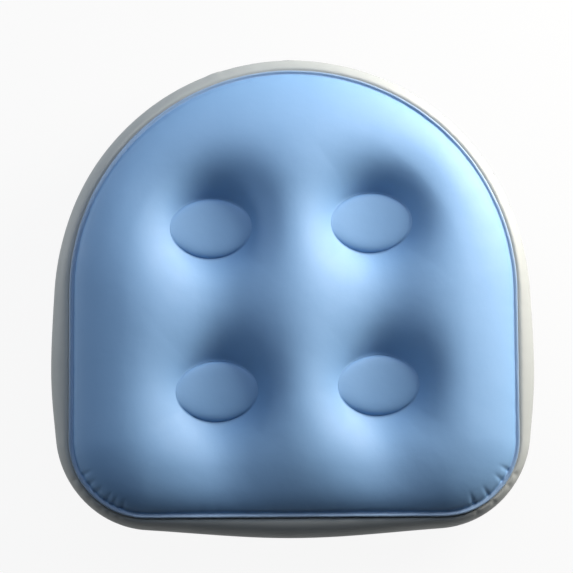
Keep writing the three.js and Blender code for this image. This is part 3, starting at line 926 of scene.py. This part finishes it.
def pad_face(plan, centre):
    """Height of a pad's face: domed, rolled down at its edge, and flush at the ends of its long axis."""
    local = turned_plan(plan - centre, -TUFT_TURN) / TUFT_HALF
    square = np.minimum(1, (local ** 2).sum(1))
    side = 1 - local[:, 0] ** 2
    dive = PAD_DIVE + PAD_GROOVE * side
    dome = dive + PAD_STEP * side + PAD_RISE * (1 - square)
    rolled = np.sqrt(1 - square ** (PAD_ROLL / 2))
    return TUFT_RIM - dive + dome * rolled + rim_lift(plan, centre)


def oval_rows(profile, centre):
    """Rings of a profile about a tuft's centre, drawn out to its oval."""
    angle = np.linspace(0, 2 * math.pi, PAD_SIDES, endpoint=False)
    oval = np.stack([np.cos(angle), np.sin(angle) * TUFT_HALF[1] / TUFT_HALF[0]], 1)
    oval = turned_plan(oval, TUFT_TURN)
    return [level_row(centre + radius * oval, height) for radius, height in profile]


def pad_rows(centre):
    """Rings of a pad: its face, the flange under the top film, and the face's underside."""
    edge = TUFT_HALF[0]
    spread = edge * np.sin(np.linspace(0, math.pi / 2, PAD_RINGS))
    outer = edge + FLANGE_WIDTH
    inner = edge - FILM
    face = oval_rows([(radius, 0) for radius in spread], centre)
    under = oval_rows([(radius * inner / edge, 0) for radius in spread[::-1]], centre)
    for row, drop in [(row, 0) for row in face] + [(row, FILM) for row in under]:
        row[:, 2] = pad_face(row[:, :2], centre) - drop
    flange = oval_rows([(edge, FLANGE_HIGH), (outer, FLANGE_HIGH),
                        (outer, FLANGE_LOW), (inner, FLANGE_LOW)], centre)
    for row in flange:
        row[:, 2] += rim_lift(row[:, :2], centre)
    return face + flange + under


def face_outward(piece):
    """Turns the faces of a closed shell outwards."""
    edit_mesh(piece.data, lambda shape: bmesh.ops.recalc_face_normals(shape, faces=shape.faces))


def make_shell(name, rows, material):
    """A closed shell from rows of points."""
    shell = make_piece(name, *quads_between(rows), material)
    face_outward(shell)
    return shell


for name, centre in TUFTS.items():
    pad = make_shell(f"tuft_pad_{name}", pad_rows(centre), BLUE_FILM)
    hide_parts(f"tuft_button_{name}")
    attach(pad, "cushion")
print("tuft pads:", len(TUFTS), "faces in each:", len(pad.data.polygons))

# %% [markdown]
# ## Tuft tubes
# Inside the cushion a tube of pale film runs from each pad down to the base. Air outside it pushes
# its middle in a little. Nothing of it shows from outside, so it is a plain drawn oval.

# %% Tuft tubes
TUBE_LOW = BASE_LOW + FILM + WELD_GAP
TUBE_HIGH = FLANGE_LOW - WELD_GAP
TUBE_WAIST = 1.5
TUBE_RINGS = 12


def tube_profile():
    heights = np.linspace(TUBE_LOW, TUBE_HIGH, TUBE_RINGS)
    waist = TUBE_WAIST * np.sin(np.linspace(0, math.pi, TUBE_RINGS))
    outside = np.column_stack([TUFT_HALF[0] - waist, heights])
    inside = (outside - (FILM, 0))[::-1]
    return np.concatenate([outside, inside, outside[:1]])


def tube_rows(centre):
    """Rings of a tube, whose upper edge bends with the rim that it is welded to."""
    rows = oval_rows(tube_profile(), centre)
    for row in rows:
        row[:, 2] += rim_lift(row[:, :2], centre) * (row[:, 2] - TUBE_LOW) / (TUBE_HIGH - TUBE_LOW)
    return rows


for name, centre in TUFTS.items():
    tube = make_shell(f"tuft_sleeve_{name}", tube_rows(centre), PALE_FILM)
    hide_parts(f"tuft_tube_{name}")
    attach(tube, "cushion")
print("tuft tubes:", len(TUFTS))

# %% [markdown]
# ## Weld beads
# When two films are welded, a little vinyl is squeezed out along the edge and sets as a bead. It
# follows the whole weld, so Geometry Nodes draw it: the weld line becomes a curve, an oval is swept
# along it, and a seeded noise makes it waver as a pressed edge does.

# %% A bead along a line, as a node tree
SECTION_SIDES = 10
WAVER_MM = 16


def new_tree(name, inputs):
    """A Geometry Nodes tree with a geometry input and further inputs, named with their kinds."""
    tree = bpy.data.node_groups.new(name, "GeometryNodeTree")
    for label, kind in {"Geometry": "Geometry", **inputs}.items():
        tree.interface.new_socket(label, in_out="INPUT", socket_type=f"NodeSocket{kind}")
    tree.interface.new_socket("Geometry", in_out="OUTPUT", socket_type="NodeSocketGeometry")
    return tree, add_node(tree, "NodeGroupInput").outputs


def end_tree(tree, geometry, material):
    real = out_of(tree, "GeometryNodeRealizeInstances", None, {"Geometry": geometry})
    soft = out_of(tree, "GeometryNodeSetShadeSmooth", None, {"Geometry": real})
    done = out_of(tree, "GeometryNodeSetMaterial", None, {"Geometry": soft, "Material": material})
    add_node(tree, "NodeGroupOutput", None, {"Geometry": done})
    return tree


def vector_of(tree, operation, inputs):
    return out_of(tree, "ShaderNodeVectorMath", {"operation": operation}, inputs)


def circle_of(tree, sides, radius):
    return out_of(tree, "GeometryNodeCurvePrimitiveCircle", None, {"Resolution": sides, "Radius": radius})


def scaled(tree, curve, across, along, turn=0.0):
    """A flat curve drawn out to two sizes and turned."""
    size = out_of(tree, "ShaderNodeCombineXYZ", None, {"X": across, "Y": along, "Z": 1.0})
    spin = out_of(tree, "ShaderNodeCombineXYZ", None, {"Z": turn})
    return out_of(tree, "GeometryNodeTransform", None, {"Geometry": curve, "Scale": size, "Rotation": spin})


def swept(tree, line, width, height):
    """An oval section swept along a line, with its height upright."""
    level = out_of(tree, "GeometryNodeSetCurveNormal", {"mode": "Z_UP"}, {"Curve": line})
    section = scaled(tree, circle_of(tree, SECTION_SIDES, 0.5), width, height)
    return out_of(tree, "GeometryNodeCurveToMesh", None, {"Curve": level, "Profile Curve": section})


def bead_tree():
    tree, given = new_tree("bead_along_line", {
        "Width": "Float", "Height": "Float", "Waver": "Float", "Step": "Float", "Seed": "Float",
        "Finish": "Material"})
    line = out_of(tree, "GeometryNodeMeshToCurve", None, {"Mesh": given["Geometry"]})
    even = out_of(tree, "GeometryNodeResampleCurve", {"mode": "LENGTH"},
                  {"Curve": line, "Length": given["Step"]})
    noise = add_node(tree, "ShaderNodeTexNoise", {"noise_dimensions": "4D"},
                     {"W": given["Seed"], "Scale": per_metre(WAVER_MM), "Detail": 1.0})
    centred = vector_of(tree, "SUBTRACT", {0: noise.outputs["Color"], 1: (0.5, 0.5, 0.5)})
    shake = vector_of(tree, "SCALE", {0: centred, "Scale": given["Waver"]})
    wavy = out_of(tree, "GeometryNodeSetPosition", None, {"Geometry": even, "Offset": shake})
    return end_tree(tree, swept(tree, wavy, given["Width"], given["Height"]), given["Finish"])


def grown_piece(name, points, edges, tree, values):
    """Runs a node tree on a row of points, and keeps its result as a plain mesh."""
    mesh = bpy.data.meshes.new(name)
    mesh.from_pydata(metres(points).tolist(), edges, [])
    piece = linked(name, mesh)
    nodes = piece.modifiers.new(tree.name, "NODES")
    nodes.node_group = tree
    sockets = {socket.name: socket.identifier for socket in tree.interface.items_tree
               if socket.in_out == "INPUT"}
    for label, value in values.items():
        nodes[sockets[label]] = value
    apply_modifiers(piece)
    face_outward(piece)
    return piece


BEAD_TREE = bead_tree()
print("bead tree, nodes:", len(BEAD_TREE.nodes))

# %% [markdown]
# The squeezed vinyl is a blend of the blue and the pale film, so the upper bead is a blue-grey.

# %% Weld beads
BLEND_VINYL = vinyl_film("blue_grey_weld_pvc", ["#86A3C4", "#7B9ABD", "#86A3C4"], 0.44, 0.44)
# height, inset from the weld line, finish and slot
BEADS = {"upper_weld_bead": (SEAM_HIGH + 0.2, 0.9, BLEND_VINYL, "blue_vinyl"),
         "lower_weld_bead": (BASE_LIP + 0.4, 0.6, PALE_FILM, "grey_vinyl")}
BEAD_SHAPE = {"Width": 2.2 * MM, "Height": 1.7 * MM, "Waver": 0.5 * MM, "Step": 2.4 * MM, "Seed": 3.0}
WELD_EDGES = [(at, (at + 1) % len(WELD_POINTS)) for at in range(len(WELD_POINTS))]
for name, (height, inset, finish, slot_name) in BEADS.items():
    line = level_row(WELD_POINTS - inset * WELD_OUT, height)
    bead = grown_piece(name, line, WELD_EDGES, BEAD_TREE, {**BEAD_SHAPE, "Finish": finish})
    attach(bead, "cushion")
    print(name, "faces:", len(bead.data.polygons))

# %% [markdown]
# ## Turned mouldings
# Suction cups and their pockets are round about an upright axis. A lathe could be a modifier on a
# drawn line, but a node tree keeps the centre and the number of sides as inputs, so that one tree
# turns every piece: a grid has one column for each side, and each of its points is read from the
# profile and swung round.

# %% Turned mouldings, as a node tree
TURNED_SIDES = 72
CLOSE_GAP = 1e-6


def turned_tree():
    tree, given = new_tree("turned_moulding", {"Sides": "Int", "Centre": "Vector", "Finish": "Material"})
    size = add_node(tree, "GeometryNodeAttributeDomainSize", {"component": "MESH"}, {0: given["Geometry"]})
    rows = size.outputs["Point Count"]
    columns = math_of(tree, "ADD", given["Sides"], 1.0)
    grid = out_of(tree, "GeometryNodeMeshGrid", None, {"Vertices X": columns, "Vertices Y": rows})
    index = out_of(tree, "GeometryNodeInputIndex")
    row = math_of(tree, "FLOORED_MODULO", index, rows)
    column = math_of(tree, "FLOOR", math_of(tree, "DIVIDE", index, rows))
    share = math_of(tree, "DIVIDE", column, given["Sides"])
    angle = math_of(tree, "MULTIPLY", share, 2 * math.pi)
    spot = out_of(tree, "GeometryNodeInputPosition")
    point = out_of(tree, "GeometryNodeSampleIndex", {"data_type": "FLOAT_VECTOR"},
                   {"Geometry": given["Geometry"], "Value": spot, "Index": row})
    swung = out_of(tree, "ShaderNodeVectorRotate", {"rotation_type": "Z_AXIS"},
                   {"Vector": point, "Angle": angle})
    moved = vector_of(tree, "ADD", {0: swung, 1: given["Centre"]})
    placed = out_of(tree, "GeometryNodeSetPosition", None, {"Geometry": grid, "Position": moved})
    closed = out_of(tree, "GeometryNodeMergeByDistance", None, {"Geometry": placed, "Distance": CLOSE_GAP})
    return end_tree(tree, closed, given["Finish"])


TURNED_TREE = turned_tree()


def turned_piece(name, profile, centre, finish):
    """A turned moulding about an upright axis at a place of the plan."""
    # The profile is swung about the frame's origin first, so the plan's shift is taken off here.
    line = np.column_stack([profile[:, 0], np.full(len(profile), -PLAN_SHIFT), profile[:, 1]])
    edges = [(at, at + 1) for at in range(len(line) - 1)]
    place = (centre[0] * MM, (centre[1] + PLAN_SHIFT) * MM, 0.0)
    values = {"Sides": TURNED_SIDES, "Centre": place, "Finish": finish}
    return grown_piece(name, line, edges, TURNED_TREE, values)


print("turned tree, nodes:", len(TURNED_TREE.nodes))

# %% [markdown]
# ## Suction cups
# A suction cup is one soft moulding: a thin bell with a sharp flat rim, a neck, and a mushroom head
# that is pushed through the hole of its pocket. The cup turns freely in that hole.

# %% Suction cups
CUP_RADIUS = 20
CUP_RIM = 1.6
CUP_HOLLOW = 5.8
CUP_HEIGHT = 8.5
NECK_RADIUS = 4
HEAD_LOW = 10.1
HEAD_HIGH = 13.6
HEAD_RADIUS = 7
HEAD_CROWN = 6
HOLLOW_POWER = 2.6
HOLLOW_SHARES = np.linspace(0, 1, 16)
BELL_POWER = 1.1
BELL_SHARES = np.linspace(0.06, 0.94, 14)
NEAR_HALF = 0.49  # the most of a profile's edge that one rounding may take


def rounded(corners, steps=6):
    """A profile of (radius, height, rounding) corners, with each corner drawn as a soft curve."""
    spots = np.array([corner[:2] for corner in corners], float)
    profile = []
    for at, (_, _, rounding) in enumerate(corners):
        if rounding == 0 or at in (0, len(corners) - 1):
            profile.append(spots[at])
            continue
        before, after = spots[at - 1] - spots[at], spots[at + 1] - spots[at]
        first = spots[at] + before * min(NEAR_HALF, rounding / np.linalg.norm(before))
        last = spots[at] + after * min(NEAR_HALF, rounding / np.linalg.norm(after))
        for share in np.linspace(0, 1, steps):
            ends = first * (1 - share) ** 2 + last * share ** 2
            profile.append(ends + spots[at] * 2 * share * (1 - share))
    return np.array(profile)


def cup_profile():
    lip = CUP_RADIUS - CUP_RIM
    edge = CUP_RIM / 2
    hollow = [(lip * share, CUP_HOLLOW * (1 - share ** HOLLOW_POWER), 0) for share in HOLLOW_SHARES]
    rim = [(CUP_RADIUS, 0, 0.2), (CUP_RADIUS, edge, 0.4)]
    bell = [(CUP_RADIUS - share * (CUP_RADIUS - NECK_RADIUS),
             edge + (CUP_HEIGHT - edge) * math.sin(share * math.pi / 2) ** BELL_POWER, 0)
            for share in BELL_SHARES]
    neck = [(NECK_RADIUS, CUP_HEIGHT, 0.8), (NECK_RADIUS, HEAD_LOW, 0.4)]
    head = [(HEAD_RADIUS, HEAD_LOW, 0.5), (HEAD_CROWN, HEAD_HIGH, 1.2), (0, HEAD_HIGH, 0)]
    return rounded(hollow + rim + bell + neck + head)


for name, centre in CUPS.items():
    cup = turned_piece(f"suction_bell_{name}", cup_profile(), centre, CLEAR_VINYL)
    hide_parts(f"suction_cup_{name}")
    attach(cup, f"cup_{name}")
print("suction cups:", len(CUPS), "faces in each:", len(cup.data.polygons))

# %% [markdown]
# ## Pockets of the suction cups
# Each cup's head sits in a small pocket, a pressed disc of pale vinyl welded under the base by its
# rim. A ring pressed into the rim is the mark of the weld.

# %% Pockets
POCKET_LOW = 8.8
POCKET_FILM = 1
POCKET_WALL = 10.5
POCKET_SHOULDER = 13
POCKET_HOLE = 4.6
POCKET_MARK = [(14.6, 0), (15.1, 0.35), (16.9, 0.35), (17.4, 0)]  # radius and depth
POCKET_RIM_LOW = 12.6
POCKET_RIM_HIGH = 13.6


def pocket_profile():
    """From the hole out to the rim below, and back above."""
    mark = [(radius, POCKET_RIM_LOW + depth, 0.3) for radius, depth in POCKET_MARK]
    below = [(POCKET_HOLE, POCKET_LOW, 0), (POCKET_WALL, POCKET_LOW, 1.2),
             (POCKET_SHOULDER, POCKET_RIM_LOW, 1.0), *mark, (POCKET_RADIUS, POCKET_RIM_LOW, 0.3)]
    above = [(POCKET_RADIUS, POCKET_RIM_HIGH, 0.3), (POCKET_SHOULDER - POCKET_FILM, POCKET_RIM_HIGH, 0.5),
             (POCKET_WALL - POCKET_FILM, POCKET_LOW + POCKET_FILM, 0.5),
             (POCKET_HOLE, POCKET_LOW + POCKET_FILM, 0.2), (POCKET_HOLE, POCKET_LOW, 0)]
    return rounded(below + above)


for name, centre in CUPS.items():
    pocket = turned_piece(f"cup_pocket_{name}", pocket_profile(), centre, PALE_FILM)
    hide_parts(f"cup_patch_{name}")
    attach(pocket, "cushion")
print("pockets:", len(CUPS), "faces in each:", len(pocket.data.polygons))

# %% [markdown]
# ## Weld marks under the base
# Where a tube is welded to the inside of the base, the electrode leaves an oval ridge outside. The
# four ovals are one oval bead set on four points, turned as the tufts are.

# %% Weld marks under the base
OVAL_SIDES = 96


def oval_mark_tree():
    tree, given = new_tree("oval_weld_marks", {
        "Half length": "Float", "Half width": "Float", "Turn": "Float", "Mark width": "Float",
        "Mark height": "Float", "Finish": "Material"})
    circle = circle_of(tree, OVAL_SIDES, 1.0)
    oval = scaled(tree, circle, given["Half length"], given["Half width"], given["Turn"])
    mark = swept(tree, oval, given["Mark width"], given["Mark height"])
    marks = out_of(tree, "GeometryNodeInstanceOnPoints", None,
                   {"Points": given["Geometry"], "Instance": mark})
    return end_tree(tree, marks, given["Finish"])


spots = [(*centre, BASE_LOW) for centre in TUFTS.values()]
half_length, half_width = (TUFT_HALF * MM).tolist()
base_marks = grown_piece("base_weld_marks", spots, [], oval_mark_tree(), {
    "Half length": half_length, "Half width": half_width, "Turn": TUFT_TURN,
    "Mark width": 3.0 * MM, "Mark height": 1.0 * MM, "Finish": PALE_FILM})
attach(base_marks, "cushion")
print("weld marks, faces:", len(base_marks.data.polygons))

# %% [markdown]
# ## Air valve
# The valve is a moulded dish let into the back wall, so that nothing stands out when it is shut. A
# short mouth rises from its floor. The whole moulding is a set of rings about the valve's axis, and
# the rings of its lip follow the swell of the wall.

# %% Air valve
BACK_FACE = SEAM_RADIUS + BULGES["back"]
DISH_RADIUS = 9.5
DISH_FLOOR = BACK_FACE - 8
MOUTH_FACE = BACK_FACE - 3.6
MOUTH_END = DISH_FLOOR - 7
MOUTH_RADIUS = 5.5
BORE_RADIUS = 4.5
VALVE_WALL = 1
VALVE_FLANGE = 3.5
FLANGE_INSIDE, FLANGE_OUTSIDE = -2.1, -1.1
VALVE_SIDES = 64


def wall_face(across, height):
    """Depth of the back wall's outside."""
    swell = BULGES["back"] * np.sqrt(1 - ((height - WALL_MIDDLE) / WALL_HALF) ** 2)
    return np.sqrt((SEAM_RADIUS + swell) ** 2 - across ** 2)


def valve_ring(radius, depth, on_wall=False):
    """A ring about the valve's axis, at a depth or at a distance from the back wall's outside."""
    angle = np.linspace(0, 2 * math.pi, VALVE_SIDES, endpoint=False)
    across = radius * np.cos(angle)
    height = VALVE_HEIGHT + radius * np.sin(angle)
    face = wall_face(across, height) if on_wall else 0
    return np.column_stack([across, np.full(VALVE_SIDES, depth, float) + face, height])


def valve_rows():
    """Rings from the flange over the lip, down the dish, through the mouth and back outside it."""
    dish = DISH_RADIUS + VALVE_WALL
    flange = dish + VALVE_FLANGE
    lip = [(flange, FLANGE_INSIDE), (flange, FLANGE_OUTSIDE), (dish, FLANGE_OUTSIDE), (dish, 0.1),
           (dish - 0.15, 0.35), (dish - 0.5, 0.45), (dish - 0.85, 0.35), (DISH_RADIUS, 0.05)]
    bowl = [(DISH_RADIUS, DISH_FLOOR + 0.8), (DISH_RADIUS - 0.25, DISH_FLOOR + 0.25),
            (DISH_RADIUS - 0.8, DISH_FLOOR), (MOUTH_RADIUS + 0.6, DISH_FLOOR),
            (MOUTH_RADIUS + 0.15, DISH_FLOOR + 0.2), (MOUTH_RADIUS, DISH_FLOOR + 0.7),
            (MOUTH_RADIUS, MOUTH_FACE - 0.35), (MOUTH_RADIUS - 0.1, MOUTH_FACE - 0.1),
            (MOUTH_RADIUS - 0.35, MOUTH_FACE), (BORE_RADIUS + 0.3, MOUTH_FACE),
            (BORE_RADIUS + 0.08, MOUTH_FACE - 0.1), (BORE_RADIUS, MOUTH_FACE - 0.35)]
    back = [(BORE_RADIUS, MOUTH_END), (MOUTH_RADIUS, MOUTH_END), (MOUTH_RADIUS, DISH_FLOOR - VALVE_WALL),
            (dish, DISH_FLOOR - VALVE_WALL)]
    rows = [valve_ring(radius, depth, True) for radius, depth in lip]
    rows += [valve_ring(radius, depth) for radius, depth in bowl + back]
    return rows + [valve_ring(dish, FLANGE_INSIDE, True), rows[0]]


valve = make_shell("air_valve_dish", valve_rows(), PALE_FILM)
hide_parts("valve_body")
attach(valve, "cushion")
print("valve, faces:", len(valve.data.polygons))

# %% [markdown]
# The wall has a round hole for the dish. It is cut last, when the wall has its thickness, with a
# boolean on a plain cylinder, because the wall's own rows don't run round the hole.

# %% Hole in the wall
HOLE_SIDES = 96
CUTTER_LENGTH = 0.04
SHARP_ANGLE = math.radians(60)


def cut_valve_hole(piece):
    place = Matrix.Translation((0, (BACK_FACE + PLAN_SHIFT) * MM, VALVE_HEIGHT * MM))
    upright = Matrix.Rotation(math.pi / 2, 4, "X")
    mesh = bpy.data.meshes.new("valve_hole_cutter")
    edit_mesh(mesh, lambda shape: bmesh.ops.create_cone(
        shape, cap_ends=True, segments=HOLE_SIDES, radius1=VALVE_HOLE * MM, radius2=VALVE_HOLE * MM,
        depth=CUTTER_LENGTH, matrix=place @ upright))
    cutter = linked("valve_hole_cutter", mesh)
    hole = piece.modifiers.new("hole", "BOOLEAN")
    hole.object = cutter
    hole.solver = "EXACT"
    apply_modifiers(piece)
    bpy.data.objects.remove(cutter)


cut_valve_hole(side_film)
side_film.data.shade_smooth()
side_film.data.set_sharp_from_angle(angle=SHARP_ANGLE)
print("side film, faces:", len(side_film.data.polygons))

# %% [markdown]
# ## Stopper and flap
# The stopper is a soft cap with a tapered shank that presses into the mouth. A strap keeps it on the
# valve, and a small tab lets a finger pull it out. The cap is a set of rings, and the strap and tab
# are blocks with rounded edges. The thin flap inside the mouth keeps its solid's shape.

# %% Stopper and flap
CAP_LOW = MOUTH_FACE + 0.3
CAP_HIGH = CAP_LOW + 2
CAP_RADIUS = 7
CAP_HOLLOW = 0.3
SHANK_TIP = CAP_LOW - 4.5
SHANK_THIN, SHANK_THICK = 3, 4.2
CAP_EDGE, CAP_INSIDE = 5.6, 5.2
AXIS = 0.01  # the radius of the rings at the axis, whose points merge


def stopper_rows():
    sunk = CAP_HIGH - CAP_HOLLOW
    profile = rounded([(AXIS, SHANK_TIP, 0), (SHANK_THIN, SHANK_TIP, 0.5), (SHANK_THICK, CAP_LOW, 0.2),
                       (CAP_RADIUS, CAP_LOW, 0.4), (CAP_RADIUS, CAP_HIGH, 0.7), (CAP_EDGE, CAP_HIGH, 0.3),
                       (CAP_INSIDE, sunk, 0.2), (AXIS, sunk, 0)], steps=5)
    return [valve_ring(radius, depth) for radius, depth in profile]


def rounded_block(name, low, high, rounding, material):
    """A block between two corners, in millimetres of the plan, with its edges rounded."""
    low, high = metres(low), metres(high)
    place = Matrix.Translation((low + high) / 2) @ Matrix.Diagonal((*(high - low), 1))

    def build(shape):
        bmesh.ops.create_cube(shape, size=1, matrix=place)
        bmesh.ops.bevel(shape, geom=shape.edges[:], offset=rounding * MM, segments=4, profile=0.5,
                        affect="EDGES")

    mesh = bpy.data.meshes.new(name)
    edit_mesh(mesh, build)
    return finished(name, mesh, material)


STRAP_MIDDLE = (CAP_LOW + CAP_HIGH) / 2
STRAP = {"low": (-2.5, STRAP_MIDDLE - 0.6, VALVE_HEIGHT - 8.3),
         "high": (2.5, STRAP_MIDDLE + 0.6, VALVE_HEIGHT - 5.5), "rounding": 0.4}
TAB = {"low": (-3.5, CAP_HIGH - 0.5, VALVE_HEIGHT + 3.8),
       "high": (3.5, CAP_HIGH + 1.2, VALVE_HEIGHT + 5.4), "rounding": 0.45}
stopper = make_shell("air_valve_stopper", stopper_rows(), PALE_FILM)
strap = rounded_block("air_valve_strap", **STRAP, material=PALE_FILM)
tab = rounded_block("air_valve_tab", **TAB, material=PALE_FILM)
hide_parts("valve_plug")
for piece in (stopper, strap, tab):
    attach(piece, "plug")

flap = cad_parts["valve_flap"]
flap.data.materials.clear()
flap.data.materials.append(CLEAR_VINYL)
print("stopper, faces:", len(stopper.data.polygons))

# %% [markdown]
# ## Floor
# The photograph has a plain white ground. A lamp strong enough to whiten the floor would bleach the
# seat, so the floor shows most of its white only to the rays that look at it, and the rest is matt
# and keeps the seat's shadow. It reaches far, so that low views don't look past its edge.

# %% Floor
FLOOR_REACH = 40
FLOOR_LEVEL = -0.0005
FLOOR_WHITE = 0.92


def seen_by(tree, kinds):
    """1 for rays of the named kinds, 0 for the light that falls on the seat."""
    path = add_node(tree, "ShaderNodeLightPath").outputs
    seen = path[kinds[0]]
    for kind in kinds[1:]:
        seen = math_of(tree, "MAXIMUM", seen, path[kind])
    return seen


def floor_material():
    material = bpy.data.materials.new("pale_floor")
    material.use_nodes = True
    tree = material.node_tree
    tree.nodes.clear()
    seen = seen_by(tree, ["Is Camera Ray", "Is Glossy Ray", "Is Transmission Ray"])
    share = math_of(tree, "MULTIPLY", seen, FLOOR_WHITE)
    matt = out_of(tree, "ShaderNodeBsdfDiffuse", None, {"Color": linear("#BABCBD")})
    white = out_of(tree, "ShaderNodeEmission", None, {"Color": linear("#FFFFFF"), "Strength": 1.0})
    mixed = out_of(tree, "ShaderNodeMixShader", None, {0: share, 1: matt, 2: white})
    add_node(tree, "ShaderNodeOutputMaterial", None, {"Surface": mixed})
    return material


floor_mesh = bpy.data.meshes.new("floor")
corner_signs = ((-1, -1), (1, -1), (1, 1), (-1, 1))
floor_corners = [(x * FLOOR_REACH, y * FLOOR_REACH, FLOOR_LEVEL) for x, y in corner_signs]
floor_mesh.from_pydata(floor_corners, [], [(0, 1, 2, 3)])
floor_mesh.materials.append(floor_material())
floor = linked("floor", floor_mesh)
print("floor reaches, m:", FLOOR_REACH)

# %% [markdown]
# ## Light
# The photograph was lit by one wide, low light behind the seat's right side, which leaves the front
# and the left wall dark and throws the far side of each dimple into shade. Its bright parts are a
# little warm and its shades blue. One broad lamp stands in for it, with a weak cool one overhead and
# a weak one low on the left, so that no wall goes black.

# %% Light
WORLD_LIGHT = 0.02
LAMP_DISTANCE = 1
LAMP_AIM = Vector((0, 0, 0.06))
LAMPS = {"window_light": {"azimuth": 36, "elevation": 21, "size": (0.6, 0.38), "watts": 19.6,
                          "colour": "#FFF5E8"},
         "overhead_fill": {"azimuth": 97, "elevation": 54, "size": (1.0, 1.0), "watts": 5.2,
                           "colour": "#E2EDFF"},
         "left_fill": {"azimuth": 165, "elevation": 3, "size": (0.6, 0.08), "watts": 2,
                       "colour": "#FFFFFF"}}


def soft_lamp(name, azimuth, elevation, size, watts, colour):
    """A flat lamp at angles in degrees round the seat, aimed at its middle."""
    around, up = math.radians(azimuth), math.radians(elevation)
    away = Vector((math.cos(around) * math.cos(up), math.sin(around) * math.cos(up), math.sin(up)))
    lamp = bpy.data.lights.new(name, "AREA")
    lamp.shape = "RECTANGLE"
    lamp.size, lamp.size_y = size
    lamp.energy = watts
    lamp.color = linear(colour)[:3]
    holder = linked(name, lamp)
    holder.location = LAMP_AIM + away * LAMP_DISTANCE
    holder.rotation_euler = (-away).to_track_quat("-Z", "Y").to_euler()


def studio_world():
    """A faint even light that looks white to the camera. To gloss it is faint, or it would grey the film."""
    world = bpy.data.worlds.new("studio")
    world.use_nodes = True
    tree = world.node_tree
    seen = seen_by(tree, ["Is Camera Ray", "Is Transmission Ray"])
    strength = range_of(tree, seen, WORLD_LIGHT, 1.0)
    fill_inputs(tree, tree.nodes["Background"], {"Color": linear("#FFFFFF"), "Strength": strength})
    return world


for name, setting in LAMPS.items():
    soft_lamp(name, **setting)
scene.world = studio_world()
